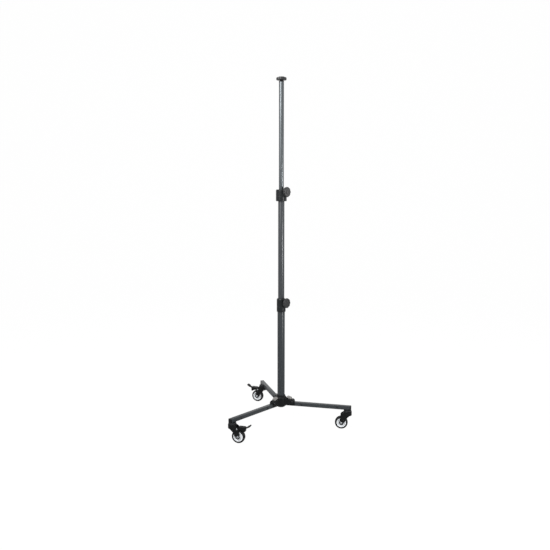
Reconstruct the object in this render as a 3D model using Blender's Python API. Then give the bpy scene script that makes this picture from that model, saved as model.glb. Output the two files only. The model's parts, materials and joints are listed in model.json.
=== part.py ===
"""Wheeled work light stand: a telescoping three-section mast on three folding legs with casters.

Metres, +Z up. The stand is on the floor at z = 0 and its origin is the middle of its footprint. Each
leg is modelled along +X of its own leg frame, and each caster along +X of its own swivel frame, which
is the way its wheel trails. The mast is drawn out in full, and the legs are folded down.
"""

import math

import bmesh
import bpy
from mathutils import Matrix, Vector

# Clearance between pieces that seat on, or turn in, each other
GAP = 0.0003

# Mast tubes, from the floor up
TUBE_WALL = 0.0015
LOWER_TUBE_DIAMETER = 0.038
LOWER_TUBE_LENGTH = 0.5292
MIDDLE_TUBE_DIAMETER = 0.032
MIDDLE_TUBE_LENGTH = 0.590
TOP_TUBE_DIAMETER = 0.025
TOP_TUBE_LENGTH = 0.588

# Slide bushes on the inner tubes' lower ends
FOOT_LIP = 0.003
FOOT_LIP_WIDTH = 0.005
MIDDLE_FOOT_SLEEVE = 0.028
TOP_FOOT_SLEEVE = 0.037

# Clamp collars: a skirt round the outer tube and a head round the inner one
LOWER_COLLAR_WALL = 0.0035
LOWER_COLLAR_SKIRT = 0.031
LOWER_COLLAR_HEAD = 0.0377
UPPER_COLLAR_WALL = 0.0045
UPPER_COLLAR_SKIRT = 0.029
UPPER_COLLAR_HEAD = 0.029
COLLAR_CHAMFER = 0.0025
CLAMP_SCREW_RISE = 0.0166
CLAMP_AZIMUTH = math.radians(-38.5)
CLAMP_KNOB_REACH = 0.0267
BOSS_RADIUS = 0.010
BOSS_ROOT = 0.002
WEB_WIDTH = 0.008
WEB_STEP = 0.0017

# Hand knobs
KNOB_RADIUS = 0.026
KNOB_THICKNESS = 0.014
KNOB_FLUTES = 9
KNOB_FLUTE_DEPTH = 0.0016
KNOB_HUB_RADIUS = 0.010
KNOB_DISH = 0.0012
STUD_RADIUS = 0.004
STUD_TIP = 0.0006

# Lamp seat at the top
PLUG_FLANGE = 0.0036
PLUG_DEPTH = 0.025
LAMP_NECK_RADIUS = 0.008
LAMP_NECK_HEIGHT = 0.0027
LAMP_STUD_LENGTH = 0.020
LAMP_BOSS_RADIUS = 0.015
LAMP_BOSS_HEIGHT = 0.003

# Hub
HUB_WALL = 0.0092
HUB_FLOOR = 0.008
HUB_DROP = 0.0212
HUB_RISE = 0.0433
HUB_COLLAR_WALL = 0.00245
HUB_COLLAR_HEIGHT = 0.0085
HUB_FOOT_RADIUS = 0.0145
TUBE_SCREW_RADIUS = 0.003
TUBE_SCREW_RISE = 0.012

# Bracket ears, pivot and lock on the hub
HUB_TO_PIVOT = 0.0325
PIVOT_RISE = 0.012
PIVOT_BOLT_RADIUS = 0.004
PIVOT_HEAD_RADIUS = 0.0065
PIVOT_HEAD_HEIGHT = 0.0038
EAR_THICKNESS = 0.003
EAR_BOSS_RADIUS = 0.011
EAR_MARGIN = 0.0045
EAR_DROP = 0.009
LEVER_PIN_INSET = 0.017
LEVER_PIN_RADIUS = 0.002
LEVER_PIN_HEAD_RADIUS = 0.0034
LEVER_PIN_HEAD_HEIGHT = 0.0012
LEVER_SIDE_GAP = 0.0006
LEVER_BOSS_RADIUS = 0.0042

# Legs
LEG_REACH = 0.368
LEG_SIZE = 0.020
LEG_WALL = 0.0015
LEG_CORNER = 0.002
KNUCKLE_RADIUS = 0.0105
KNUCKLE_INNER_GAP = 0.0015
KNUCKLE_SHOULDER = 0.0137
KNUCKLE_TANG = 0.045
NOTCH_DEPTH = 0.0022
NOTCH_HALF_ANGLE = math.radians(11.0)
INNER_BOLT_INSET = 0.010
OUTER_BOLT_INSET = 0.052
CROSS_BOLT_RADIUS = 0.0025
CROSS_HEAD_RADIUS = 0.005
CROSS_HEAD_HEIGHT = 0.0026
CAP_FLANGE = 0.0057
CAP_SPIGOT = 0.0040
SWIVEL_INSET = 0.018
SOCKET_OUTER_WALL = 0.0075
SOCKET_INNER_END = 0.010

# Legs' azimuths, and the way each wheel trails, from +X and anticlockwise seen from above
LEGS = {
    "right": {"azimuth": math.radians(-13.1), "trail": math.radians(-187.1), "brake": False},
    "left": {"azimuth": math.radians(-133.1), "trail": math.radians(-14.7), "brake": True},
    "rear": {"azimuth": math.radians(-253.1), "trail": math.radians(-201.2), "brake": True},
}

# Casters
WHEEL_RADIUS = 0.033
WHEEL_WIDTH = 0.022
TREAD_WIDTH = 0.013
RIM_RADIUS = 0.024
RIM_LIP = 0.003
RIM_DISH = 0.0035
RIM_HUB_RADIUS = 0.009
WHEEL_SIDE_GAP = 0.002
TRAIL = 0.0315
AXLE_RADIUS = 0.004
AXLE_HEAD_RADIUS = 0.006
AXLE_HEAD_HEIGHT = 0.003
FORK_TOP_GAP = 0.006
CROWN_RADIUS = 0.0215
CROWN_HEIGHT = 0.0212
CROWN_TOP = 0.0082
CROWN_WALL = 0.0037
CHEEK_THICKNESS = 0.0028
AXLE_BOSS_RADIUS = 0.010
CHEEK_BACK = 0.005
FLANGE_RADIUS = 0.020
FLANGE_HEIGHT = 0.0079
STEM_RADIUS = 0.005
STEM_LENGTH = 0.0166
KINGPIN_RADIUS = 0.004
KINGPIN_HEAD_RADIUS = 0.008
KINGPIN_HEAD_HEIGHT = 0.004

# Brake pedals
PEDAL_PIN_BACK = 0.0045
PEDAL_PIN_RISE = 0.007
PEDAL_PIN_RADIUS = 0.002
PEDAL_PIN_HEAD_RADIUS = 0.004
PEDAL_PIN_HEAD_HEIGHT = 0.0016
PEDAL_SIDE_GAP = 0.001
PEDAL_ARM_WIDTH = 0.012
PEDAL_TIP_WIDTH = 0.020
PEDAL_TRAVEL = math.radians(10.0)
SHOE_CLEARANCE = 0.0016
SHOE_START = 96.0
SHOE_END = 38.0

# Fineness of round pieces
TUBE_SIDES = 24
WHEEL_SIDES = 24
KNOB_SIDES = 27
STEM_SIDES = 16
SMALL_SIDES = 8
FULL_TURN = 2.0 * math.pi

# Heights and places that follow from the sizes above
WHEEL_TOP = 2.0 * WHEEL_RADIUS
FORK_BOTTOM = WHEEL_TOP + FORK_TOP_GAP
FORK_TOP = FORK_BOTTOM + CROWN_HEIGHT
FLANGE_BOTTOM = FORK_TOP + GAP
LEG_BOTTOM = FLANGE_BOTTOM + FLANGE_HEIGHT + GAP
LEG_AXIS = LEG_BOTTOM + LEG_SIZE / 2.0
SWIVEL_REACH = LEG_REACH - SWIVEL_INSET
CHEEK_INNER = WHEEL_WIDTH / 2.0 + WHEEL_SIDE_GAP
CHEEK_OUTER = CHEEK_INNER + CHEEK_THICKNESS
PEDAL_PIN = (TRAIL - PEDAL_PIN_BACK, WHEEL_TOP + PEDAL_PIN_RISE)

HUB_BOTTOM = LEG_AXIS - HUB_DROP
HUB_TOP = LEG_AXIS + HUB_RISE
HUB_SOCKET_RADIUS = LOWER_TUBE_DIAMETER / 2.0 + GAP
HUB_RADIUS = HUB_SOCKET_RADIUS + HUB_WALL
PIVOT = (HUB_RADIUS + HUB_TO_PIVOT, LEG_AXIS + PIVOT_RISE)
LEVER_PIN = (PIVOT[0] - LEVER_PIN_INSET, PIVOT[1] + KNUCKLE_RADIUS)
EAR_TOP = LEVER_PIN[1] + EAR_MARGIN
EAR_INNER = LEG_SIZE / 2.0 + GAP
EAR_OUTER = EAR_INNER + EAR_THICKNESS
KNUCKLE_END = PIVOT[0] + KNUCKLE_SHOULDER
LEG_INNER_END = KNUCKLE_END + GAP
LEG_OUTER_END = LEG_REACH - CAP_FLANGE - GAP
INNER_BOLT = LEG_INNER_END + KNUCKLE_TANG - INNER_BOLT_INSET
OUTER_BOLT = SWIVEL_REACH - OUTER_BOLT_INSET
INSERT_SIZE = LEG_SIZE - 2.0 * LEG_WALL - 2.0 * GAP

LOWER_TUBE_BOTTOM = HUB_BOTTOM + HUB_FLOOR + GAP
LOWER_TUBE_TOP = LOWER_TUBE_BOTTOM + LOWER_TUBE_LENGTH
LOWER_SHOULDER = LOWER_TUBE_TOP + GAP
MIDDLE_FOOT_TOP = LOWER_SHOULDER - GAP
MIDDLE_FOOT_BOTTOM = MIDDLE_FOOT_TOP - MIDDLE_FOOT_SLEEVE - FOOT_LIP
MIDDLE_TUBE_BOTTOM = MIDDLE_FOOT_BOTTOM + FOOT_LIP + GAP
MIDDLE_TUBE_TOP = MIDDLE_TUBE_BOTTOM + MIDDLE_TUBE_LENGTH
UPPER_SHOULDER = MIDDLE_TUBE_TOP + GAP
TOP_FOOT_TOP = UPPER_SHOULDER - GAP
TOP_FOOT_BOTTOM = TOP_FOOT_TOP - TOP_FOOT_SLEEVE - FOOT_LIP
TOP_TUBE_BOTTOM = TOP_FOOT_BOTTOM + FOOT_LIP + GAP
TOP_TUBE_TOP = TOP_TUBE_BOTTOM + TOP_TUBE_LENGTH
LAMP_SEAT = TOP_TUBE_TOP + GAP + PLUG_FLANGE

# Finishes: colour, roughness, metallic
FINISHES = {
    "powder_coat": ((0.055, 0.064, 0.072), 0.42, 0.2),
    "silver_coat": ((0.30, 0.31, 0.32), 0.38, 0.5),
    "top_coat": ((0.42, 0.43, 0.44), 0.32, 0.7),
    "hub_casting": ((0.030, 0.031, 0.034), 0.5, 0.1),
    "black_plastic": ((0.022, 0.022, 0.024), 0.5, 0.0),
    "knob_plastic": ((0.035, 0.036, 0.038), 0.45, 0.0),
    "bush_plastic": ((0.02, 0.02, 0.02), 0.4, 0.0),
    "black_steel": ((0.02, 0.02, 0.022), 0.4, 0.6),
    "bright_steel": ((0.55, 0.56, 0.58), 0.3, 1.0),
    "lever_steel": ((0.32, 0.29, 0.28), 0.45, 0.6),
    "rim_plastic": ((0.78, 0.79, 0.80), 0.4, 0.0),
    "tyre_rubber": ((0.015, 0.016, 0.017), 0.7, 0.0),
}


def empty(name, parent, location=(0.0, 0.0, 0.0), turn=0.0):
    """A frame for the pieces that move together, turned about Z."""
    frame = bpy.data.objects.new(name, None)
    bpy.context.collection.objects.link(frame)
    frame.parent = parent
    frame.location = location
    frame.rotation_euler = (0.0, 0.0, turn)
    return frame


def coat(obj, finish):
    """Give a piece its own material of one of the finishes."""
    colour, roughness, metallic = FINISHES[finish]
    material = bpy.data.materials.new(obj.name)
    material.use_nodes = True
    shader = material.node_tree.nodes["Principled BSDF"]
    shader.inputs["Base Color"].default_value = (*colour, 1.0)
    shader.inputs["Roughness"].default_value = roughness
    shader.inputs["Metallic"].default_value = metallic
    obj.data.materials.append(material)


def piece(name, mesh, parent, finish, origin=(0.0, 0.0, 0.0)):
    """A named piece whose mesh is drawn about origin in its parent's frame."""
    bmesh.ops.recalc_face_normals(mesh, faces=mesh.faces)
    data = bpy.data.meshes.new(name)
    mesh.to_mesh(data)
    mesh.free()
    obj = bpy.data.objects.new(name, data)
    bpy.context.collection.objects.link(obj)
    obj.parent = parent
    obj.location = -Vector(origin)
    data.shade_smooth()
    data.set_sharp_from_angle(angle=math.radians(32.0))
    if finish:
        coat(obj, finish)
    return obj


def combine(obj, mesh, operation):
    """Join a shape to a piece, cut it out of it, or keep what they share."""
    tool = piece(f"{obj.name}_{operation.lower()}_tool", mesh, obj.parent, None)
    tool.location = obj.location
    tool.hide_render = True
    tool.display_type = "WIRE"
    modifier = obj.modifiers.new(operation.lower(), "BOOLEAN")
    modifier.operation = operation
    modifier.solver = "EXACT"
    modifier.object = tool


def loft(rings, closed=False):
    """A skin over rings of as many points each, with flat ends unless it closes on itself."""
    mesh = bmesh.new()
    layers = [[mesh.verts.new(point) for point in ring] for ring in rings]
    pairs = list(zip(layers, layers[1:]))
    if closed:
        pairs.append((layers[-1], layers[0]))
    else:
        mesh.faces.new(layers[0])
        mesh.faces.new(layers[-1])
    for first, second in pairs:
        for here in range(len(first)):
            there = (here + 1) % len(first)
            mesh.faces.new((first[here], first[there], second[there], second[here]))
    return mesh


def turned(profile, sides, closed=False, flutes=0):
    """A shape turned about Z. A profile point is its radius, its height and, on a grip, a flute depth."""
    rings = []
    for radius, height, *depth in profile:
        ring = []
        for side in range(sides):
            angle = FULL_TURN * (side + 0.5) / sides
            hollow = depth[0] * (0.5 - 0.5 * math.cos(flutes * angle)) if depth else 0.0
            reach = radius - hollow
            ring.append(Vector((reach * math.cos(angle), reach * math.sin(angle), height)))
        rings.append(ring)
    return loft(rings, closed)


def laid_along_y(mesh, x=0.0, z=0.0):
    """Turn a shape that was made about Z onto the Y axis, and move it sideways."""
    matrix = Matrix.Translation((x, 0.0, z)) @ Matrix.Rotation(math.radians(90.0), 4, "X")
    mesh.transform(matrix)
    return mesh


def spot(first, second, along, depth):
    """The point of an outline's two coordinates, at a depth along X, Y or Z."""
    if along == "X":
        return Vector((depth, first, second))
    if along == "Y":
        return Vector((first, depth, second))
    return Vector((first, second, depth))


def extruded(outline, along, start, end):
    """A solid of one outline, extruded along an axis from start to end."""
    mesh = bmesh.new()
    face = mesh.faces.new([mesh.verts.new(spot(*point, along, start)) for point in outline])
    grown = bmesh.ops.extrude_face_region(mesh, geom=[face])
    moved = [item for item in grown["geom"] if isinstance(item, bmesh.types.BMVert)]
    bmesh.ops.translate(mesh, verts=moved, vec=spot(0.0, 0.0, along, end - start))
    return mesh


def rod(radius, start, end, sides=SMALL_SIDES):
    """A plain round bar about Z."""
    return turned([(radius, start), (radius, end)], sides)


def arc(centre, radius, start, end, steps):
    """Points of an outline's round stretch, angles in degrees."""
    angles = [math.radians(start + (end - start) * step / steps) for step in range(steps + 1)]
    return [(centre[0] + radius * math.cos(a), centre[1] + radius * math.sin(a)) for a in angles]


def rounded_square(size, corner, depth):
    """A ring of a square with rounded corners, at a depth along X."""
    inner = size / 2.0 - corner
    ring = []
    for start, (side_y, side_z) in zip((0, 90, 180, 270), ((1, 1), (-1, 1), (-1, -1), (1, -1))):
        points = arc((side_y * inner, side_z * inner), corner, start, start + 90, 2)
        ring.extend(Vector((depth, y, z)) for y, z in points)
    return ring


def through_bolt(name, parent, finish, place, shank, head, height, half_grip, origin=(0.0, 0.0, 0.0)):
    """A bolt along Y with a round head on each side of what it holds."""
    seat = half_grip + GAP
    top = seat + height
    profile = [(head, -top), (head, -seat), (shank, -seat), (shank, seat), (head, seat), (head, top)]
    mesh = laid_along_y(turned(profile, SMALL_SIDES), *place)
    return piece(name, mesh, parent, finish, origin)


def cross_hole(obj, radius, place, half_length):
    """A round hole along Y right through a piece."""
    combine(obj, laid_along_y(rod(radius, -half_length, half_length), *place), "DIFFERENCE")


def round_tube(name, parent, finish, diameter, bottom, top):
    """One section of the mast."""
    outer = diameter / 2.0
    inner = outer - TUBE_WALL
    profile = [(outer, bottom), (outer, top), (inner, top), (inner, bottom)]
    return piece(name, turned(profile, TUBE_SIDES, closed=True), parent, finish)


def slide_foot(name, parent, inner_diameter, outer_diameter, bottom, top):
    """A bush on an inner tube's lower end: a sleeve that runs in the outer tube, with a lip inside."""
    outer = outer_diameter / 2.0 - TUBE_WALL - GAP
    seat = inner_diameter / 2.0 + GAP
    hole = outer - FOOT_LIP_WIDTH
    profile = [
        (hole, bottom),
        (outer, bottom),
        (outer, top),
        (seat, top),
        (seat, bottom + FOOT_LIP),
        (hole, bottom + FOOT_LIP),
    ]
    return piece(name, turned(profile, TUBE_SIDES, closed=True), parent, "bush_plastic")


def clamp_matrix(height):
    """Takes +Z onto the clamp screw's axis, at its height on the mast."""
    turn = Matrix.Rotation(CLAMP_AZIMUTH, 4, "Z") @ Matrix.Rotation(math.radians(90.0), 4, "Y")
    return Matrix.Translation((0.0, 0.0, height)) @ turn


def clamp_collar(name, parent, outer_tube, inner_tube, wall, shoulder, skirt, head):
    """A collar on the outer tube's end, with a boss for the clamp screw and a web under the boss."""
    skirt_bore = outer_tube / 2.0 + GAP
    head_bore = inner_tube / 2.0 + GAP
    outer = skirt_bore + wall
    bottom = shoulder - skirt
    top = shoulder + head
    profile = [
        (skirt_bore, bottom),
        (outer - COLLAR_CHAMFER / 2.0, bottom),
        (outer, bottom + COLLAR_CHAMFER),
        (outer, top - 2.0 * COLLAR_CHAMFER),
        (outer - COLLAR_CHAMFER, top),
        (head_bore, top),
        (head_bore, shoulder),
        (skirt_bore, shoulder),
    ]
    collar = piece(name, turned(profile, TUBE_SIDES, closed=True), parent, "hub_casting")

    screw = clamp_matrix(shoulder + CLAMP_SCREW_RISE)
    boss = rod(BOSS_RADIUS, head_bore + BOSS_ROOT, CLAMP_KNOB_REACH, STEM_SIDES)
    boss.transform(screw)
    combine(collar, boss, "UNION")

    half = WEB_WIDTH / 2.0
    root = skirt_bore + BOSS_ROOT
    front = CLAMP_KNOB_REACH - WEB_STEP
    plan = [(root, -half), (front, -half), (front, half), (root, half)]
    web = extruded(plan, "Z", bottom + COLLAR_CHAMFER, shoulder + CLAMP_SCREW_RISE)
    web.transform(Matrix.Rotation(CLAMP_AZIMUTH, 4, "Z"))
    combine(collar, web, "UNION")

    hole = rod(STUD_RADIUS + GAP, head_bore / 2.0, CLAMP_KNOB_REACH + BOSS_RADIUS, STEM_SIDES)
    hole.transform(screw)
    combine(collar, hole, "DIFFERENCE")
    return collar


def knob_face(back):
    """Outer profile of a hand knob's fluted head, from its back face to its dished front."""
    front = back + KNOB_THICKNESS
    rim = KNOB_RADIUS
    return [
        (KNOB_HUB_RADIUS, back),
        (rim - 0.0022, back + 0.0012, KNOB_FLUTE_DEPTH / 2.0),
        (rim, back + 0.0034, KNOB_FLUTE_DEPTH),
        (rim, front - 0.0026, KNOB_FLUTE_DEPTH),
        (rim - 0.0030, front, KNOB_FLUTE_DEPTH / 4.0),
        (rim - 0.0056, front - KNOB_DISH),
    ]


def clamp_knob(name, parent, inner_tube, height):
    """A hand knob with its stud, whose tip bears on the inner tube."""
    tip = inner_tube / 2.0 + GAP
    back = CLAMP_KNOB_REACH + GAP
    front = back + KNOB_THICKNESS
    profile = [(STUD_RADIUS - STUD_TIP, tip), (STUD_RADIUS, tip + STUD_TIP), (STUD_RADIUS, back)]
    profile += knob_face(back)
    profile += [(KNOB_HUB_RADIUS, front - KNOB_DISH), (KNOB_HUB_RADIUS - 0.001, front)]
    axis = empty(f"{name}_axis", parent, (0.0, 0.0, height))
    mesh = turned(profile, KNOB_SIDES, flutes=KNOB_FLUTES)
    mesh.transform(clamp_matrix(0.0))
    return piece(name, mesh, axis, "knob_plastic")


def lamp_knob(parent):
    """The knob on top, which screws down onto a lamp's bracket."""
    seat = LAMP_SEAT + GAP
    back = seat + LAMP_NECK_HEIGHT
    front = back + KNOB_THICKNESS
    stud = seat - LAMP_STUD_LENGTH
    profile = [
        (STUD_RADIUS - STUD_TIP, stud),
        (STUD_RADIUS, stud + STUD_TIP),
        (STUD_RADIUS, seat),
        (LAMP_NECK_RADIUS, seat),
        (LAMP_NECK_RADIUS, back),
    ]
    profile += knob_face(back)
    profile += [
        (LAMP_BOSS_RADIUS, front - KNOB_DISH),
        (LAMP_BOSS_RADIUS, front + LAMP_BOSS_HEIGHT - 0.001),
        (LAMP_BOSS_RADIUS - 0.001, front + LAMP_BOSS_HEIGHT),
    ]
    return piece("lamp_knob", turned(profile, KNOB_SIDES, flutes=KNOB_FLUTES), parent, "knob_plastic")


def top_plug(parent):
    """The plug in the top tube's end, bored for the lamp knob's stud."""
    outer = TOP_TUBE_DIAMETER / 2.0
    spigot = outer - TUBE_WALL - GAP
    bore = STUD_RADIUS + GAP
    under = TOP_TUBE_TOP + GAP
    profile = [
        (bore, under - PLUG_DEPTH),
        (spigot, under - PLUG_DEPTH),
        (spigot, under),
        (outer, under),
        (outer, LAMP_SEAT),
        (bore, LAMP_SEAT),
    ]
    return piece("top_plug", turned(profile, TUBE_SIDES, closed=True), parent, "black_plastic")


def ear_outline():
    """Side view of a bracket ear: deep at the hub, a boss at the pivot, cut back below for the leg."""
    root = HUB_SOCKET_RADIUS + GAP
    low = LEG_AXIS - EAR_DROP
    outline = [(root, low), (PIVOT[0] - 0.021, low), (PIVOT[0] - 0.011, low + 0.004)]
    outline += arc(PIVOT, EAR_BOSS_RADIUS, -70, 110, 8)
    outline += [(LEVER_PIN[0] + EAR_MARGIN, EAR_TOP), (root, EAR_TOP)]
    return outline


def hub_core(parent):
    """The hub's round core: a socket for the lower tube, a collar above and a domed underside."""
    step = HUB_TOP - HUB_COLLAR_HEIGHT
    collar = HUB_SOCKET_RADIUS + HUB_COLLAR_WALL
    middle = (HUB_FOOT_RADIUS + HUB_RADIUS) / 2.0
    profile = [
        (HUB_FOOT_RADIUS, HUB_BOTTOM),
        (middle, HUB_BOTTOM + 0.0035),
        (HUB_RADIUS - 0.0015, HUB_BOTTOM + HUB_FLOOR + 0.0005),
        (HUB_RADIUS, LEG_AXIS - 0.003),
        (HUB_RADIUS, step - 0.004),
        (HUB_RADIUS - 0.0035, step),
        (collar, step + 0.0005),
        (collar, HUB_TOP - 0.001),
        (collar - 0.001, HUB_TOP),
        (HUB_SOCKET_RADIUS, HUB_TOP),
        (HUB_SOCKET_RADIUS, HUB_BOTTOM + HUB_FLOOR),
    ]
    return piece("hub_body", turned(profile, TUBE_SIDES), parent, "hub_casting")


def turned_about_mast(mesh, azimuth):
    """Turn a shape from +X to a leg's azimuth."""
    mesh.transform(Matrix.Rotation(azimuth, 4, "Z"))
    return mesh


def hub(parent):
    """The hub casting: its core with three pairs of bracket ears, drilled for the pivots and pins."""
    body = hub_core(parent)
    for leg in LEGS.values():
        for side in (-1.0, 1.0):
            ear = extruded(ear_outline(), "Y", side * EAR_INNER, side * EAR_OUTER)
            combine(body, turned_about_mast(ear, leg["azimuth"]), "UNION")
    for leg in LEGS.values():
        for radius, place in ((PIVOT_BOLT_RADIUS, PIVOT), (LEVER_PIN_RADIUS, LEVER_PIN)):
            half = EAR_OUTER + EAR_THICKNESS
            drill = laid_along_y(rod(radius + GAP, -half, half), *place)
            combine(body, turned_about_mast(drill, leg["azimuth"]), "DIFFERENCE")
    return body


def tube_screw(parent, body):
    """The grub screw that holds the lower tube in the hub, at the back between two legs."""
    azimuth = (LEGS["right"]["azimuth"] + LEGS["rear"]["azimuth"]) / 2.0 + FULL_TURN / 2.0
    turn = Matrix.Rotation(azimuth, 4, "Z") @ Matrix.Rotation(math.radians(90.0), 4, "Y")
    matrix = Matrix.Translation((0.0, 0.0, LEG_AXIS + TUBE_SCREW_RISE)) @ turn
    hole = rod(TUBE_SCREW_RADIUS + GAP, LOWER_TUBE_DIAMETER / 4.0, HUB_RADIUS + HUB_WALL)
    hole.transform(matrix)
    combine(body, hole, "DIFFERENCE")
    screw = rod(TUBE_SCREW_RADIUS, LOWER_TUBE_DIAMETER / 2.0 + GAP, HUB_RADIUS - 0.001)
    screw.transform(matrix)
    return piece("tube_screw", screw, parent, "black_steel")


def mast(parent):
    """The three tubes with their bushes, collars and knobs."""
    for name, finish, diameter, bottom, top in (
        ("lower_tube", "powder_coat", LOWER_TUBE_DIAMETER, LOWER_TUBE_BOTTOM, LOWER_TUBE_TOP),
        ("middle_tube", "silver_coat", MIDDLE_TUBE_DIAMETER, MIDDLE_TUBE_BOTTOM, MIDDLE_TUBE_TOP),
        ("top_tube", "top_coat", TOP_TUBE_DIAMETER, TOP_TUBE_BOTTOM, TOP_TUBE_TOP),
    ):
        round_tube(name, parent, finish, diameter, bottom, top)
    for name, inner, outer, bottom, top in (
        ("middle_tube_foot", MIDDLE_TUBE_DIAMETER, LOWER_TUBE_DIAMETER, MIDDLE_FOOT_BOTTOM, MIDDLE_FOOT_TOP),
        ("top_tube_foot", TOP_TUBE_DIAMETER, MIDDLE_TUBE_DIAMETER, TOP_FOOT_BOTTOM, TOP_FOOT_TOP),
    ):
        slide_foot(name, parent, inner, outer, bottom, top)
    clamp_collar(
        "lower_collar",
        parent,
        LOWER_TUBE_DIAMETER,
        MIDDLE_TUBE_DIAMETER,
        LOWER_COLLAR_WALL,
        LOWER_SHOULDER,
        LOWER_COLLAR_SKIRT,
        LOWER_COLLAR_HEAD,
    )
    clamp_collar(
        "upper_collar",
        parent,
        MIDDLE_TUBE_DIAMETER,
        TOP_TUBE_DIAMETER,
        UPPER_COLLAR_WALL,
        UPPER_SHOULDER,
        UPPER_COLLAR_SKIRT,
        UPPER_COLLAR_HEAD,
    )
    clamp_knob("lower_knob", parent, MIDDLE_TUBE_DIAMETER, LOWER_SHOULDER + CLAMP_SCREW_RISE)
    clamp_knob("upper_knob", parent, TOP_TUBE_DIAMETER, UPPER_SHOULDER + CLAMP_SCREW_RISE)
    top_plug(parent)
    lamp_knob(parent)


def knuckle_outline():
    """Side view of a knuckle: a block in line with the leg under a round with two lock notches."""
    inner = HUB_RADIUS + KNUCKLE_INNER_GAP
    top = LEG_BOTTOM + LEG_SIZE
    dip = math.degrees(math.asin((top - PIVOT[1]) / KNUCKLE_RADIUS))
    half = math.degrees(NOTCH_HALF_ANGLE)
    floor = KNUCKLE_RADIUS - NOTCH_DEPTH
    outline = [(inner, LEG_BOTTOM), (KNUCKLE_END, LEG_BOTTOM), (KNUCKLE_END, top)]
    outline += arc(PIVOT, KNUCKLE_RADIUS, dip, 45 - half, 3)
    outline += arc(PIVOT, floor, 45 - half, 45 + half, 1)
    outline += arc(PIVOT, KNUCKLE_RADIUS, 45 + half, 135 - half, 4)
    outline += arc(PIVOT, floor, 135 - half, 135 + half, 1)
    outline += arc(PIVOT, KNUCKLE_RADIUS, 135 + half, 180 - dip, 3)
    outline += [(inner + 0.006, top), (inner, top - 0.004)]
    return outline


def knuckle(name, parent, origin):
    """The leg's inner end fitting, which turns between the ears and is bolted into the leg tube."""
    half = LEG_SIZE / 2.0
    body = piece(name, extruded(knuckle_outline(), "Y", -half, half), parent, "hub_casting", origin)
    tang = square_bar(INSERT_SIZE, KNUCKLE_END - 0.005, KNUCKLE_END + KNUCKLE_TANG)
    combine(body, tang, "UNION")
    cross_hole(body, PIVOT_BOLT_RADIUS + GAP, PIVOT, LEG_SIZE)
    cross_hole(body, CROSS_BOLT_RADIUS + GAP, (INNER_BOLT, LEG_AXIS), LEG_SIZE)
    return body


def square_bar(size, start, end):
    """A square bar along X on the leg's axis."""
    half = size / 2.0
    low = LEG_AXIS - half
    high = LEG_AXIS + half
    return extruded([(-half, low), (half, low), (half, high), (-half, high)], "X", start, end)


def stem_hole(obj, low, high):
    """The upright hole for a caster's stem."""
    hole = rod(STEM_RADIUS + GAP, low, high, STEM_SIDES)
    hole.transform(Matrix.Translation((SWIVEL_REACH, 0.0, 0.0)))
    combine(obj, hole, "DIFFERENCE")


def square_rings(stations):
    """Rounded squares on the leg's axis; each station is its size, its corner and its place along X."""
    lift = Vector((0.0, 0.0, LEG_AXIS))
    return [[point + lift for point in rounded_square(*station)] for station in stations]


def leg_tube(name, parent, origin):
    """The square tube, drilled for its two cross bolts and, from below, for the caster's stem."""
    bore = LEG_SIZE - 2.0 * LEG_WALL
    bore_corner = LEG_CORNER - 0.9 * LEG_WALL
    stations = [
        (LEG_SIZE, LEG_CORNER, LEG_INNER_END),
        (LEG_SIZE, LEG_CORNER, LEG_OUTER_END),
        (bore, bore_corner, LEG_OUTER_END),
        (bore, bore_corner, LEG_INNER_END),
    ]
    tube = piece(name, loft(square_rings(stations), closed=True), parent, "powder_coat", origin)
    for reach in (INNER_BOLT, OUTER_BOLT):
        cross_hole(tube, CROSS_BOLT_RADIUS + GAP, (reach, LEG_AXIS), LEG_SIZE)
    stem_hole(tube, LEG_BOTTOM - LEG_WALL, LEG_AXIS)
    return tube


def end_cap(name, parent, origin):
    """The moulded cap in the leg tube's outer end."""
    start = LEG_REACH - CAP_FLANGE
    stations = [
        (INSERT_SIZE, LEG_CORNER, LEG_OUTER_END - CAP_SPIGOT),
        (INSERT_SIZE, LEG_CORNER, start),
        (LEG_SIZE, LEG_CORNER, start),
        (LEG_SIZE, LEG_CORNER, LEG_REACH - 0.002),
        (LEG_SIZE - 0.0012, LEG_CORNER, LEG_REACH - 0.0006),
        (LEG_SIZE - 0.004, LEG_CORNER, LEG_REACH),
    ]
    return piece(name, loft(square_rings(stations)), parent, "black_plastic", origin)


def caster_socket(name, parent, origin):
    """The block in the leg tube that takes the caster's stem."""
    bar = square_bar(INSERT_SIZE, OUTER_BOLT - SOCKET_INNER_END, SWIVEL_REACH + SOCKET_OUTER_WALL)
    block = piece(name, bar, parent, "black_plastic", origin)
    stem_hole(block, LEG_BOTTOM - LEG_WALL, LEG_BOTTOM + LEG_SIZE)
    cross_hole(block, CROSS_BOLT_RADIUS + GAP, (OUTER_BOLT, LEG_AXIS), LEG_SIZE)
    return block


def caster_base(name, parent, origin):
    """The part of a caster that is fixed to the leg: stem, flange and kingpin, headed below the crown."""
    head_top = FORK_TOP - CROWN_TOP - GAP
    top = FLANGE_BOTTOM + FLANGE_HEIGHT
    profile = [
        (KINGPIN_HEAD_RADIUS, head_top - KINGPIN_HEAD_HEIGHT),
        (KINGPIN_HEAD_RADIUS, head_top),
        (KINGPIN_RADIUS, head_top),
        (KINGPIN_RADIUS, FLANGE_BOTTOM),
        (FLANGE_RADIUS, FLANGE_BOTTOM),
        (FLANGE_RADIUS, top - 0.002),
        (FLANGE_RADIUS - 0.002, top),
        (STEM_RADIUS, top),
        (STEM_RADIUS, top + STEM_LENGTH - 0.001),
        (STEM_RADIUS - 0.001, top + STEM_LENGTH),
    ]
    mesh = turned(profile, STEM_SIDES)
    mesh.transform(Matrix.Translation((SWIVEL_REACH, 0.0, 0.0)))
    return piece(name, mesh, parent, "black_steel", origin)


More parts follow.
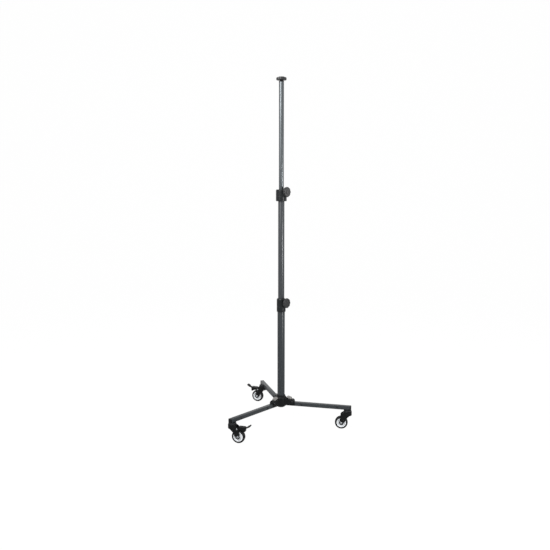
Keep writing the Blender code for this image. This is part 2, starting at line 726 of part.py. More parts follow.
def lever_outline():
    """Side view of a lock lever: thumb pad, boss round its pin, and a nose that meets the knuckle."""
    nose = arc(PIVOT, KNUCKLE_RADIUS + GAP, 135, 135, 1)[0]
    x, z = LEVER_PIN
    outline = [(x - 0.0125, z + 0.0085), (x - 0.005, z + 0.0075)]
    outline += arc(LEVER_PIN, LEVER_BOSS_RADIUS, 130, 325, 8)
    outline += [
        nose,
        (nose[0] + 0.0032, nose[1] + 0.0058),
        (nose[0] + 0.0026, z + 0.0105),
        (nose[0] - 0.0014, z + 0.0145),
        (x - 0.0105, z + 0.0145),
        (x - 0.0125, z + 0.0125),
    ]
    return outline


def lock_lever(name, parent):
    """The sprung lever on top of a bracket, on its own pin between the ears."""
    axis = empty(f"{name}_axis", parent, (LEVER_PIN[0], 0.0, LEVER_PIN[1]))
    origin = (LEVER_PIN[0], 0.0, LEVER_PIN[1])
    half = EAR_INNER - LEVER_SIDE_GAP
    lever = piece(name, extruded(lever_outline(), "Y", -half, half), axis, "lever_steel", origin)
    cross_hole(lever, LEVER_PIN_RADIUS + GAP, LEVER_PIN, LEG_SIZE)
    return lever


def cheek_outline():
    """Side view of a fork cheek: under the crown, swept back to a boss round the axle."""
    top = FORK_TOP - 0.003
    front = 0.0008 - math.sqrt(CROWN_RADIUS**2 - CHEEK_OUTER**2)
    back = TRAIL + CHEEK_BACK
    outline = [(front, top), (front, FORK_BOTTOM + 0.003), (front + 0.0183, FORK_BOTTOM - 0.015)]
    outline += arc((TRAIL, WHEEL_RADIUS), AXLE_BOSS_RADIUS, 205, 370, 8)
    outline += [
        (back, FORK_BOTTOM - 0.012),
        (back, PEDAL_PIN[1] + 0.001),
        (back - 0.0035, PEDAL_PIN[1] + 0.0065),
        (back - 0.0195, top),
    ]
    return outline


def fork(name, parent, brake):
    """A caster's swivelling fork: a cup-shaped crown and two cheeks."""
    bore = KINGPIN_RADIUS + GAP
    cup = CROWN_RADIUS - CROWN_WALL
    profile = [
        (bore, FORK_TOP),
        (CROWN_RADIUS - 0.0015, FORK_TOP),
        (CROWN_RADIUS, FORK_TOP - 0.0015),
        (CROWN_RADIUS, FORK_BOTTOM + 0.003),
        (CROWN_RADIUS - 0.0015, FORK_BOTTOM),
        (cup, FORK_BOTTOM),
        (cup, FORK_TOP - CROWN_TOP),
        (bore, FORK_TOP - CROWN_TOP),
    ]
    body = piece(name, turned(profile, WHEEL_SIDES, closed=True), parent, "black_plastic")
    for side in (-1.0, 1.0):
        cheek = extruded(cheek_outline(), "Y", side * CHEEK_INNER, side * CHEEK_OUTER)
        combine(body, cheek, "UNION")
    cross_hole(body, AXLE_RADIUS + GAP, (TRAIL, WHEEL_RADIUS), 2.0 * CHEEK_OUTER)
    if brake:
        cross_hole(body, PEDAL_PIN_RADIUS + GAP, PEDAL_PIN, 2.0 * CHEEK_OUTER)
    return body


def tyre(name, parent):
    """The tyre, round its axle, with a flat tread whose facets touch the wheel's circle."""
    outer = WHEEL_RADIUS / math.cos(math.pi / WHEEL_SIDES)
    bore = RIM_RADIUS + GAP
    half = WHEEL_WIDTH / 2.0
    tread = TREAD_WIDTH / 2.0
    profile = [
        (bore, -half),
        (outer - 0.0045, -half),
        (outer - 0.0012, -(half + tread) / 2.0),
        (outer, -tread),
        (outer, tread),
        (outer - 0.0012, (half + tread) / 2.0),
        (outer - 0.0045, half),
        (bore, half),
    ]
    return piece(name, laid_along_y(turned(profile, WHEEL_SIDES, closed=True)), parent, "tyre_rubber")


def rim(name, parent):
    """The rim: a lip under the tyre, dished faces and a hub that runs between the cheeks."""
    bore = AXLE_RADIUS + GAP
    hub_end = CHEEK_INNER - GAP
    lip = WHEEL_WIDTH / 2.0 - 0.0005
    web = lip - RIM_DISH
    side = [
        (bore, hub_end),
        (RIM_HUB_RADIUS, hub_end),
        (RIM_HUB_RADIUS, web),
        (RIM_RADIUS - RIM_LIP, web),
        (RIM_RADIUS - RIM_LIP / 2.0, lip),
        (RIM_RADIUS, lip),
    ]
    profile = side + [(radius, -height) for radius, height in reversed(side)]
    return piece(name, laid_along_y(turned(profile, WHEEL_SIDES, closed=True)), parent, "rim_plastic")


def shoe_face():
    """The shoe's hollow underside: round the tyre when the pedal is down, turned back up by its travel."""
    reach = WHEEL_RADIUS / math.cos(math.pi / WHEEL_SIDES) + SHOE_CLEARANCE
    up = Matrix.Rotation(PEDAL_TRAVEL, 2)
    pin = Vector(PEDAL_PIN)
    pressed = arc((TRAIL, WHEEL_RADIUS), reach, SHOE_START, SHOE_END, 5)
    return [tuple(pin + up @ (Vector(point) - pin)) for point in pressed]


def pedal_outline():
    """Side view of a brake pedal, from its pin: shoe over the tyre, arm and raised toe."""
    x, z = PEDAL_PIN
    points = [(x - 0.0045, z - 0.0025), (x - 0.002, z - 0.0048)]
    points += shoe_face()
    points += [
        (x + 0.0405, z - 0.0115),
        (x + 0.0425, z - 0.0070),
        (x + 0.0425, z + 0.0010),
        (x + 0.0500, z + 0.0065),
        (x + 0.0650, z + 0.0145),
        (x + 0.0690, z + 0.0185),
        (x + 0.0675, z + 0.0215),
        (x + 0.0630, z + 0.0210),
        (x + 0.0500, z + 0.0130),
        (x + 0.0430, z + 0.0085),
        (x + 0.0390, z + 0.0100),
        (x + 0.0110, z + 0.0105),
        (x + 0.0030, z + 0.0062),
        (x - 0.0035, z + 0.0035),
    ]
    return points


def pedal_plan(body_half):
    """Plan of a brake pedal: a wide body, a narrow arm and a wide toe."""
    arm = PEDAL_ARM_WIDTH / 2.0
    toe = PEDAL_TIP_WIDTH / 2.0
    edge = [
        (-0.010, body_half),
        (0.0395, body_half),
        (0.0430, arm),
        (0.0480, arm),
        (0.0520, toe),
        (0.0650, toe),
        (0.0705, toe * 0.55),
    ]
    plan = edge + [(x, -y) for x, y in reversed(edge)]
    return [(PEDAL_PIN[0] + x, y) for x, y in plan]


def brake_pedal(name, parent):
    """The pedal on its pin between the cheeks; pressed down, its shoe meets the tyre."""
    origin = (PEDAL_PIN[0], 0.0, PEDAL_PIN[1])
    axis = empty(f"{name}_axis", parent, origin)
    half = CHEEK_INNER - PEDAL_SIDE_GAP
    side_view = extruded(pedal_outline(), "Y", -CHEEK_OUTER, CHEEK_OUTER)
    pedal = piece(name, side_view, axis, "black_plastic", origin)
    combine(pedal, extruded(pedal_plan(half), "Z", 0.0, 2.0 * FORK_TOP), "INTERSECT")
    cross_hole(pedal, PEDAL_PIN_RADIUS + GAP, PEDAL_PIN, 2.0 * half)
    return pedal


def caster(side, leg, fold):
    """A caster: its base stays with the leg, the fork swivels and the wheel spins on its axle."""
    caster_base(f"{side}_caster_base", fold, (PIVOT[0], 0.0, PIVOT[1]))
    place = (SWIVEL_REACH - PIVOT[0], 0.0, -PIVOT[1])
    swivel = empty(f"{side}_swivel_axis", fold, place, leg["trail"] - leg["azimuth"])
    fork(f"{side}_fork", swivel, leg["brake"])
    through_bolt(
        f"{side}_axle",
        swivel,
        "bright_steel",
        (TRAIL, WHEEL_RADIUS),
        AXLE_RADIUS,
        AXLE_HEAD_RADIUS,
        AXLE_HEAD_HEIGHT,
        CHEEK_OUTER,
    )
    axle = empty(f"{side}_wheel_axis", swivel, (TRAIL, 0.0, WHEEL_RADIUS))
    tyre(f"{side}_tyre", axle)
    rim(f"{side}_rim", axle)
    if leg["brake"]:
        brake_pedal(f"{side}_brake_pedal", swivel)
        through_bolt(
            f"{side}_brake_pin",
            swivel,
            "bright_steel",
            PEDAL_PIN,
            PEDAL_PIN_RADIUS,
            PEDAL_PIN_HEAD_RADIUS,
            PEDAL_PIN_HEAD_HEIGHT,
            CHEEK_OUTER,
        )


def folding_leg(side, leg, parent):
    """One leg: its pivot and lock on the hub, and the folding leg with its caster."""
    frame = empty(f"{side}_leg_frame", parent, turn=leg["azimuth"])
    through_bolt(
        f"{side}_pivot_bolt",
        frame,
        "black_steel",
        PIVOT,
        PIVOT_BOLT_RADIUS,
        PIVOT_HEAD_RADIUS,
        PIVOT_HEAD_HEIGHT,
        EAR_OUTER,
    )
    through_bolt(
        f"{side}_lock_pin",
        frame,
        "black_steel",
        LEVER_PIN,
        LEVER_PIN_RADIUS,
        LEVER_PIN_HEAD_RADIUS,
        LEVER_PIN_HEAD_HEIGHT,
        EAR_OUTER,
    )
    lock_lever(f"{side}_lock_lever", frame)

    origin = (PIVOT[0], 0.0, PIVOT[1])
    fold = empty(f"{side}_fold_axis", frame, origin)
    knuckle(f"{side}_knuckle", fold, origin)
    leg_tube(f"{side}_leg_tube", fold, origin)
    end_cap(f"{side}_end_cap", fold, origin)
    caster_socket(f"{side}_caster_socket", fold, origin)
    for name, reach in ((f"{side}_inner_bolt", INNER_BOLT), (f"{side}_outer_bolt", OUTER_BOLT)):
        through_bolt(
            name,
            fold,
            "black_steel",
            (reach, LEG_AXIS),
            CROSS_BOLT_RADIUS,
            CROSS_HEAD_RADIUS,
            CROSS_HEAD_HEIGHT,
            LEG_SIZE / 2.0,
            origin,
        )
    caster(side, leg, fold)


def centre_on_footprint(stand):
    """Move the stand so that the middle of its footprint is over the origin."""
    bpy.context.view_layer.update()
    graph = bpy.context.evaluated_depsgraph_get()
    points = []
    for obj in bpy.data.objects:
        if obj.type == "MESH" and not obj.hide_render:
            shape = obj.evaluated_get(graph).data
            points.extend(obj.matrix_world @ vertex.co for vertex in shape.vertices)
    for axis in (0, 1):
        values = [point[axis] for point in points]
        stand.location[axis] = -(min(values) + max(values)) / 2.0
    bpy.context.view_layer.update()


def main():
    """Build the whole stand."""
    for obj in list(bpy.data.objects):
        bpy.data.objects.remove(obj, do_unlink=True)
    stand = empty("stand", None)
    mast(stand)
    tube_screw(stand, hub(stand))
    for side, leg in LEGS.items():
        folding_leg(side, leg, stand)
    centre_on_footprint(stand)


if __name__ == "__main__":
    main()
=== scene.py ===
"""Finished look of the wheeled work light stand, dressed round its packed construction model.

Everything is in metres with +Z up. A mast piece is drawn about the mast's own axis, a leg piece in its
leg frame, whose +X runs out along the leg from the mast, and a caster piece in its swivel frame, whose
+X is the way the wheel trails. The frames come from the joints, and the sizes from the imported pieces.
"""

import json
import math

import bmesh
import bpy
from mathutils import Matrix, Vector


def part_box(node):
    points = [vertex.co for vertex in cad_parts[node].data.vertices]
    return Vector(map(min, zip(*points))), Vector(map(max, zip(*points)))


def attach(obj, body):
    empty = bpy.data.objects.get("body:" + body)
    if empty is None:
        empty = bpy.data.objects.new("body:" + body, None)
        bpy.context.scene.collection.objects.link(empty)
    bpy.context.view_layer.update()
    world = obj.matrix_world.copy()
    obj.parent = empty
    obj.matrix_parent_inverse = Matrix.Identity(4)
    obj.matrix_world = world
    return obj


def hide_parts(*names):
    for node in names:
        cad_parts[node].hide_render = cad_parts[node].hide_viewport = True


bl_info = {
    "name": "Wheeled Light Stand",
    "version": (1, 0, 0),
    "blender": (4, 5, 0),
    "location": "3D View > Sidebar > Light Stand",
    "description": "Dresses a telescoping light stand on casters with its finished pieces and coatings",
    "category": "Object",
}

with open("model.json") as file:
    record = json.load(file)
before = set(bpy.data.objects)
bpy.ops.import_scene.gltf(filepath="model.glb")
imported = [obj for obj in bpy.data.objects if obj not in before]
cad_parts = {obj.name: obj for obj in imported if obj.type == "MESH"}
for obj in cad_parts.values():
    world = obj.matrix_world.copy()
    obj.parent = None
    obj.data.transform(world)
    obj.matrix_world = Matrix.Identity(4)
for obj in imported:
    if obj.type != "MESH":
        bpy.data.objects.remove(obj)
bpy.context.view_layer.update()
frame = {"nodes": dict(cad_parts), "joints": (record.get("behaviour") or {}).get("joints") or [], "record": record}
JOINTS = {joint["name"]: joint for joint in frame["joints"]}
SIDES = ("right", "left", "rear")
BRAKED = ("left", "rear")
MM = 0.001
CLEARANCE = 0.3 * MM
FULL_TURN = 2.0 * math.pi
WHITE = (1.0, 1.0, 1.0, 1.0)
ONTO_Y = Matrix.Rotation(math.radians(90.0), 4, "X")


def linear(code):
    """The linear colour of an sRGB hex value."""
    levels = [int(code[start : start + 2], 16) / 255.0 for start in (1, 3, 5)]
    return [c / 12.92 if c <= 0.04045 else ((c + 0.055) / 1.055) ** 2.4 for c in levels]


def joint_place(name):
    """A joint's point in the stand's frame."""
    return Vector(JOINTS[name]["pos_m"])


def upright(origin, direction):
    """A frame on the floor below origin, with +Z up and +X along direction."""
    along = Vector((direction[0], direction[1], 0.0)).normalized()
    across = Vector((-along.y, along.x, 0.0))
    turn = Matrix((along, across, (0.0, 0.0, 1.0))).transposed().to_4x4()
    return Matrix.Translation((origin[0], origin[1], 0.0)) @ turn


def along_axis(origin, axis):
    """A frame at origin whose +Z runs along an axis."""
    return Matrix.Translation(origin) @ Vector(axis).to_track_quat("Z", "Y").to_matrix().to_4x4()


MAST = Matrix.Translation(joint_place("lamp_knob_turn") * Vector((1.0, 1.0, 0.0)))
LEG = {side: upright(MAST.translation, joint_place(f"{side}_leg_fold") - MAST.translation) for side in SIDES}
SWIVEL = {
    side: upright(
        joint_place(f"{side}_swivel"),
        joint_place(f"{side}_wheel_spin") - joint_place(f"{side}_swivel"),
    )
    for side in SIDES
}
WHEEL = {
    side: along_axis(joint_place(f"{side}_wheel_spin"), SWIVEL[side].to_3x3() @ Vector((0.0, -1.0, 0.0)))
    for side in SIDES
}
KNOB = {
    name: along_axis(joint_place(f"{name}_turn"), JOINTS[f"{name}_turn"]["axis"])
    for name in ("lower_knob", "upper_knob", "lamp_knob")
}


def local_points(name, matrix):
    """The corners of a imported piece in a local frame."""
    inverse = matrix.inverted()
    return [inverse @ vertex.co for vertex in frame["nodes"][name].data.vertices]


def span(name, matrix):
    """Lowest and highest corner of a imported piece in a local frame."""
    points = local_points(name, matrix)
    low = Vector([min(point[axis] for point in points) for axis in range(3)])
    high = Vector([max(point[axis] for point in points) for axis in range(3)])
    return low, high


def reach(name, matrix):
    """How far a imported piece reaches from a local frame's Z axis."""
    return max(point.xy.length for point in local_points(name, matrix))


# The three legs are alike in their own frames, so the right one gives the sizes of all
LEG_LOW, LEG_HIGH = span("right_leg_tube", LEG["right"])
LEG_AXIS = (LEG_LOW.z + LEG_HIGH.z) / 2.0
LEG_HALF = (LEG_HIGH.z - LEG_LOW.z) / 2.0
PIVOT = (LEG["right"].inverted() @ joint_place("right_leg_fold")).xz
LEVER_PIN = (LEG["right"].inverted() @ joint_place("right_lock_press")).xz
SOCKET_RADIUS = reach("lower_tube", MAST) + CLEARANCE
TRAIL, WHEEL_RADIUS = (SWIVEL["right"].inverted() @ joint_place("right_wheel_spin")).xz
BRAKE_PIN = (SWIVEL["left"].inverted() @ joint_place("left_brake_press")).xz
FORK_TOP = span("right_fork", SWIVEL["right"])[1].z
RIM_END = span("right_rim", WHEEL["right"])[1].z
CHEEK_INNER = RIM_END + CLEARANCE
CROWN_RADIUS = 21.5 * MM
CROWN_LOW = 2.0 * WHEEL_RADIUS + 6.0 * MM
KNOB_DEPTH = 14.0 * MM

# Radii of the holes for pivot bolts, axles, kingpins and studs, for cross bolts, and for small pins
BOLT_HOLE = 4.3 * MM
CROSS_HOLE = 2.8 * MM
PIN_HOLE = 2.3 * MM

# Degrees past which an edge stays sharp, on a piece as it is drawn and on one with softened edges
PLAIN_SHARP = 32.0
SOFT_SHARP = 60.0


def length_setting(name, description, default):
    """A length that a user may change."""
    return bpy.props.FloatProperty(name=name, description=description, default=default, unit="LENGTH")


def colour_setting(name, description, code):
    """A colour that a user may change, from its sRGB hex value."""
    return bpy.props.FloatVectorProperty(
        name=name, description=description, default=linear(code), subtype="COLOR"
    )


class StandSizes(bpy.types.PropertyGroup):
    """Sizes of the finish that the construction model leaves open."""

    round_sides: bpy.props.IntProperty(
        name="Round sides", description="Sides of a finished round piece", default=96, min=24
    )
    tube_wall: length_setting("Tube wall", "Wall of the mast and leg tubes", 1.5 * MM)
    tube_lip: length_setting("Tube lip", "Rounding of a cut tube end", 0.35 * MM)
    leg_corner: length_setting("Leg corner", "Outer corner radius of the square legs", 2.0 * MM)
    hub_wall: length_setting("Hub wall", "Wall of the hub round the lower tube", 9.2 * MM)
    ear_wall: length_setting("Ear wall", "Thickness of a bracket ear", 3.0 * MM)
    cheek_wall: length_setting("Cheek wall", "Thickness of a fork cheek", 2.8 * MM)
    knob_lobes: bpy.props.IntProperty(
        name="Knob lobes", description="Grip lobes round a hand knob", default=9, min=3
    )
    lobe_depth: length_setting("Lobe depth", "Depth of the hollows between the lobes", 1.6 * MM)
    casting_grid: length_setting("Casting grid", "Size of the cast pieces' surface grid", 0.85 * MM)
    moulding_grid: length_setting("Moulding grid", "Size of the moulded pieces' surface grid", 0.65 * MM)


class StandColours(bpy.types.PropertyGroup):
    """Colours of the stand's finishes."""

    # The tubes' colours get lighter from the lower tube up to the top one: partly their own coats, partly painted
    # light for the stronger light higher up
    powder: colour_setting("Powder coat", "Lower tube and legs", "#2f3336")
    silver: colour_setting("Silver coat", "Middle tube", "#3d4043")
    top: colour_setting("Top coat", "Top tube", "#565b5e")
    casting: colour_setting("Casting", "Hub and knuckles", "#0f1011")
    collar: colour_setting("Collar nylon", "Clamp collars", "#15181a")
    moulding: colour_setting("Black nylon", "Forks, pedals, plugs, end caps and bushes", "#0e0f10")
    knob: colour_setting("Knob nylon", "Hand knobs", "#1e1f20")
    black_steel: colour_setting("Black steel", "Bolts, lock pins and caster bases", "#2a2b2d")
    zinc: colour_setting("Zinc", "Axles and brake pins", "#a0a3a6")
    lever: colour_setting("Lever steel", "Lock levers", "#868482")
    rim: colour_setting("Rim nylon", "Wheel rims", "#e2e5e8")
    rubber: colour_setting("Rubber", "Tyres", "#111213")


class StageSettings(bpy.types.PropertyGroup):
    """The photographer's view and light."""

    camera_back: length_setting("Camera distance", "From the mast back to the lens", 3.2846)
    camera_left: length_setting("Camera offset", "Lens to the left of the mast", 0.0317)
    camera_height: length_setting("Camera height", "Lens above the floor", 1.261)
    camera_tilt: bpy.props.FloatProperty(
        name="Camera tilt", description="Downward tilt", default=math.radians(8.21), subtype="ANGLE"
    )
    camera_lens: bpy.props.FloatProperty(
        name="Lens", description="Focal length on a 36 mm sensor", default=42.59, unit="CAMERA"
    )
    room_light: bpy.props.FloatProperty(
        name="Room light", description="Strength of the even light all round", default=0.4, min=0.0
    )


def add_node(tree, kind, sockets=None, **settings):
    """Add a node, set its settings, and give each named socket a value or a link from an output."""
    made = tree.nodes.new(kind)
    for key, value in settings.items():
        setattr(made, key, value)
    for key, value in (sockets or {}).items():
        outputs = value if isinstance(value, list) else [value]
        for output in outputs:
            if isinstance(output, bpy.types.NodeSocket):
                tree.links.new(output, made.inputs[key])
            else:
                made.inputs[key].default_value = output
    return made


def shade(colour, factor):
    """A colour made lighter or darker by a factor."""
    return [min(1.0, channel * factor) for channel in colour]


def surface(name, colour, patch, change, grain, relief, rough, drawn=1.0, worn=0.0, **shader):
    """A finish with broad patches of tone, a fine relief with an uneven gloss, and lighter worn edges.

    patch and grain are sizes in metres, relief is the grain's height in metres, change is the tone's
    share either way, rough is the roughness and its change, and drawn stretches the grain along Z.
    """
    material = bpy.data.materials.new(name)
    material.use_nodes = True
    tree = material.node_tree
    tree.nodes.clear()
    # The noises lie mostly between the first two, and wear sets in as pointiness passes the next two
    noise_low, noise_high = 0.3, 0.7
    edge_start, edge_full = 0.52, 0.6
    worn_shade = 3.0
    place = add_node(tree, "ShaderNodeTexCoord").outputs["Object"]
    broad = add_node(
        tree, "ShaderNodeTexNoise", {"Vector": place, "Scale": 1.0 / patch, "Detail": 3.0, "Roughness": 0.5}
    )
    stretched = add_node(tree, "ShaderNodeMapping", {"Vector": place, "Scale": (1.0, 1.0, 1.0 / drawn)})
    fine = add_node(
        tree,
        "ShaderNodeTexNoise",
        {"Vector": stretched.outputs["Vector"], "Scale": 1.0 / grain, "Detail": 2.0, "Roughness": 0.6},
    )
    tone = add_node(tree, "ShaderNodeValToRGB", {"Fac": broad.outputs["Fac"]})
    low, high = tone.color_ramp.elements
    low.position, low.color = noise_low, (*shade(colour, 1.0 - change), 1.0)
    high.position, high.color = noise_high, (*shade(colour, 1.0 + change), 1.0)
    edges = add_node(
        tree,
        "ShaderNodeMapRange",
        {
            "Value": add_node(tree, "ShaderNodeNewGeometry").outputs["Pointiness"],
            "From Min": edge_start,
            "From Max": edge_full,
            "To Min": 0.0,
            "To Max": worn,
        },
    )
    painted = add_node(
        tree, "ShaderNodeMix", {"Factor": edges.outputs["Result"]}, data_type="RGBA", clamp_factor=True
    )
    # The mix node's colours are its inputs 6 and 7 and its output 2
    tree.links.new(tone.outputs["Color"], painted.inputs[6])
    painted.inputs[7].default_value = (*shade(colour, worn_shade), 1.0)
    gloss = add_node(
        tree,
        "ShaderNodeMapRange",
        {
            "Value": fine.outputs["Fac"],
            "From Min": noise_low,
            "From Max": noise_high,
            "To Min": rough[0] - rough[1],
            "To Max": rough[0] + rough[1],
        },
    )
    bump = add_node(
        tree, "ShaderNodeBump", {"Height": fine.outputs["Fac"], "Strength": 1.0, "Distance": relief}
    )
    sockets = {
        "Base Color": painted.outputs[2],
        "Roughness": gloss.outputs["Result"],
        "Normal": bump.outputs["Normal"],
    }
    sockets.update({key.replace("_", " "): value for key, value in shader.items()})
    principled = add_node(tree, "ShaderNodeBsdfPrincipled", sockets)
    add_node(tree, "ShaderNodeOutputMaterial", {"Surface": principled.outputs["BSDF"]})
    return material


def finishes(colours):
    """Every finish of the stand, by the material slot that it belongs to."""
    return {
        # Polyester powder coat on steel: satin charcoal, with a faint orange peel
        "powder_coat": surface(
            "powder_coated_steel",
            colours.powder,
            patch=70 * MM,
            change=0.06,
            grain=2.4 * MM,
            relief=0.01 * MM,
            rough=(0.3, 0.04),
            Specular_IOR_Level=0.3,
        ),
        # The same coat with silver flake: a soft sheen that runs along the tube. Its colour is lighter than the
        # lower tube's, partly its own and partly painted light for the stronger light higher up
        "silver_coat": surface(
            "silver_powder_coat",
            colours.silver,
            patch=80 * MM,
            change=0.05,
            grain=2.0 * MM,
            relief=0.008 * MM,
            rough=(0.26, 0.03),
            Metallic=0.15,
            Specular_IOR_Level=0.4,
        ),
        # Anodised aluminium, drawn through a die: fine lines along it and a bright stripe under the light. Its
        # colour is lighter still, partly its own and partly painted light for the top being lit most
        "top_coat": surface(
            "anodised_aluminium",
            colours.top,
            patch=90 * MM,
            change=0.04,
            grain=1.2 * MM,
            relief=0.001 * MM,
            rough=(0.24, 0.01),
            drawn=40.0,
            Metallic=0.5,
            Specular_IOR_Level=0.5,
        ),
        # Black painted die casting: slightly pebbled, rubbed a little lighter on its edges
        "hub_casting": surface(
            "painted_die_casting",
            colours.casting,
            patch=25 * MM,
            change=0.15,
            grain=1.3 * MM,
            relief=0.04 * MM,
            rough=(0.4, 0.08),
            worn=0.35,
            Specular_IOR_Level=0.16,
        ),
        # Glass-filled nylon: greyish black with a fine spark-eroded texture
        "collar_plastic": surface(
            "textured_nylon",
            colours.collar,
            patch=22 * MM,
            change=0.12,
            grain=1.0 * MM,
            relief=0.02 * MM,
            rough=(0.32, 0.06),
            worn=0.3,
            Specular_IOR_Level=0.25,
        ),
        # Moulded black nylon: smoother and a little glossy
        "black_plastic": surface(
            "moulded_black_nylon",
            colours.moulding,
            patch=18 * MM,
            change=0.15,
            grain=1.1 * MM,
            relief=0.02 * MM,
            rough=(0.34, 0.08),
            worn=0.25,
            Specular_IOR_Level=0.15,
        ),
        # Knob nylon: spark-eroded faces that hands have polished a little
        "knob_plastic": surface(
            "knob_nylon",
            colours.knob,
            patch=14 * MM,
            change=0.15,
            grain=0.9 * MM,
            relief=0.015 * MM,
            rough=(0.3, 0.06),
            worn=0.3,
            Specular_IOR_Level=0.5,
        ),
        # Acetal slide bush: plain, waxy and smooth
        "bush_plastic": surface(
            "black_acetal",
            colours.moulding,
            patch=20 * MM,
            change=0.08,
            grain=1.5 * MM,
            relief=0.01 * MM,
            rough=(0.35, 0.04),
        ),
        # Blackened steel: dark oxide with a dull shine
        "black_steel": surface(
            "blackened_steel",
            colours.black_steel,
            patch=8 * MM,
            change=0.2,
            grain=0.7 * MM,
            relief=0.01 * MM,
            rough=(0.36, 0.08),
            Metallic=0.8,
        ),
        # Zinc plated steel: bright, with a cloudy passivated bloom
        "bright_steel": surface(
            "zinc_plated_steel",
            colours.zinc,
            patch=6 * MM,
            change=0.1,
            grain=0.8 * MM,
            relief=0.01 * MM,
            rough=(0.26, 0.08),
            Metallic=1.0,
        ),
        # Plated pressing: pale warm grey, brushed dull
        "lever_steel": surface(
            "plated_pressing",
            colours.lever,
            patch=9 * MM,
            change=0.08,
            grain=0.8 * MM,
            relief=0.01 * MM,
            rough=(0.4, 0.08),
            Metallic=0.4,
        ),
        # White nylon: soft sheen, a little greyer where the moulding ran
        "rim_plastic": surface(
            "white_nylon",
            colours.rim,
            patch=16 * MM,
            change=0.03,
            grain=1.2 * MM,
            relief=0.01 * MM,
            rough=(0.36, 0.05),
        ),
        # Tyre rubber: matt, with dust in its grain
        "tyre_rubber": surface(
            "tyre_rubber",
            colours.rubber,
            patch=12 * MM,
            change=0.2,
            grain=1.0 * MM,
            relief=0.05 * MM,
            rough=(0.6, 0.1),
            worn=0.2,
            Specular_IOR_Level=0.2,
        ),
    }


MATERIALS = {}


def finish_of(slot):
    """The material of a slot; all of them are made the first time that one is asked for."""
    if not MATERIALS:
        MATERIALS.update(finishes(bpy.context.scene.stand_colours))
    return MATERIALS[slot]


def loose_object(mesh, name="draft"):
    """An object round a bmesh or a mesh, for its modifiers to work on."""
    data = mesh
    if isinstance(mesh, bmesh.types.BMesh):
        bmesh.ops.recalc_face_normals(mesh, faces=mesh.faces)
        data = bpy.data.meshes.new(name)
        mesh.to_mesh(data)
        mesh.free()
    obj = bpy.data.objects.new(name, data)
    bpy.context.scene.collection.objects.link(obj)
    return obj


def settled(obj):
    """The plain mesh that an object's modifiers give; the object itself is removed."""
    graph = bpy.context.evaluated_depsgraph_get()
    mesh = bpy.data.meshes.new_from_object(obj.evaluated_get(graph))
    bpy.data.objects.remove(obj)
    return mesh


def finished(name, mesh, matrix, body, slot, replaced, sharp=PLAIN_SHARP):
    """Put a finished piece in its place, riding on its body and coated with its slot's finish."""
    work = mesh
    if isinstance(mesh, bpy.types.Mesh):
        work = bmesh.new()
        work.from_mesh(mesh)
    bmesh.ops.remove_doubles(work, verts=work.verts, dist=0.01 * MM)
    bmesh.ops.recalc_face_normals(work, faces=work.faces)
    work.transform(matrix)
    data = bpy.data.meshes.new(name)
    work.to_mesh(data)
    work.free()
    data.materials.clear()
    data.materials.append(finish_of(slot))
    data.shade_smooth()
    data.set_sharp_from_angle(angle=math.radians(sharp))
    obj = bpy.data.objects.new(name, data)
    bpy.context.scene.collection.objects.link(obj)
    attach(obj, body)
    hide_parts(*replaced)


def body_of(name):
    """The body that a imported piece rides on."""
    bodies = frame["record"]["behaviour"]["bodies"]
    return next(body for body, names in bodies.items() if name in names)


def fitted(node, mesh, matrix, slot, sharp=PLAIN_SHARP):
    """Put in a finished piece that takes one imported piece's place, on the same body."""
    finished(f"{node}_finished", mesh, matrix, body_of(node), slot, [node], sharp)


def arc(centre, radius, start, end, steps):
    """Points of an outline's round stretch, angles in degrees."""
    angles = [math.radians(start + (end - start) * step / steps) for step in range(steps + 1)]
    return [(centre[0] + radius * math.cos(a), centre[1] + radius * math.sin(a)) for a in angles]


def filleted(corners, closed=True, steps=4):
    """The line through (x, y, fillet) corners, with each corner rounded by its own fillet, if it has one."""
    points = [Vector(corner[:2]) for corner in corners]
    line = []
    for index, corner in enumerate(corners):
        here = points[index]
        is_end = not closed and index in (0, len(corners) - 1)
        if is_end or len(corner) < 3 or not corner[2]:
            line.append(tuple(here))
            continue
        before = points[index - 1] - here
        after = points[(index + 1) % len(points)] - here
        half = before.angle(after) / 2.0
        cut = min(corner[2] / math.tan(half), 0.49 * before.length, 0.49 * after.length)
        start = here + before.normalized() * cut
        end = here + after.normalized() * cut
        for step in range(steps + 1):
            share = step / steps
            curve = start * (1 - share) ** 2 + here * 2 * share * (1 - share) + end * share**2
            line.append(tuple(curve))
    return line


def skinned(rings, closed=False):
    """A skin over rings of as many points each, with flat ends unless it closes on itself."""
    mesh = bmesh.new()
    layers = [[mesh.verts.new(point) for point in ring] for ring in rings]
    pairs = list(zip(layers, layers[1:]))
    if closed:
        pairs.append((layers[-1], layers[0]))
    else:
        mesh.faces.new(layers[0])
        mesh.faces.new(layers[-1])
    for first, second in pairs:
        for here in range(len(first)):
            there = (here + 1) % len(first)
            mesh.faces.new((first[here], first[there], second[there], second[here]))
    return mesh


def revolved(profile, sides, closed=False):
    """A solid of revolution about Z from a line of (radius, height) points."""
    rings = []
    for radius, height in profile:
        angles = [FULL_TURN * side / sides for side in range(sides)]
        rings.append([(radius * math.cos(angle), radius * math.sin(angle), height) for angle in angles])
    return skinned(rings, closed)


def rod(radius, low, high, matrix=None, sides=64):
    """A plain round bar about Z, or about the Z axis of a matrix."""
    mesh = revolved([(radius, low), (radius, high)], sides)
    mesh.transform(matrix or Matrix())
    return mesh


def cross_rod(radius, place, half):
    """A round bar along Y through an (x, z) place."""
    return rod(radius, -half, half, Matrix.Translation((place[0], 0.0, place[1])) @ ONTO_Y)


def plate(outline, low, high):
    """A plate of an (x, z) outline, from y = low to y = high."""
    return skinned([[(x, y, z) for x, z in outline] for y in (low, high)])


def slab(outline, low, high):
    """A plate of an (x, y) outline, from z = low to z = high."""
    return skinned([[(x, y, z) for x, y in outline] for z in (low, high)])


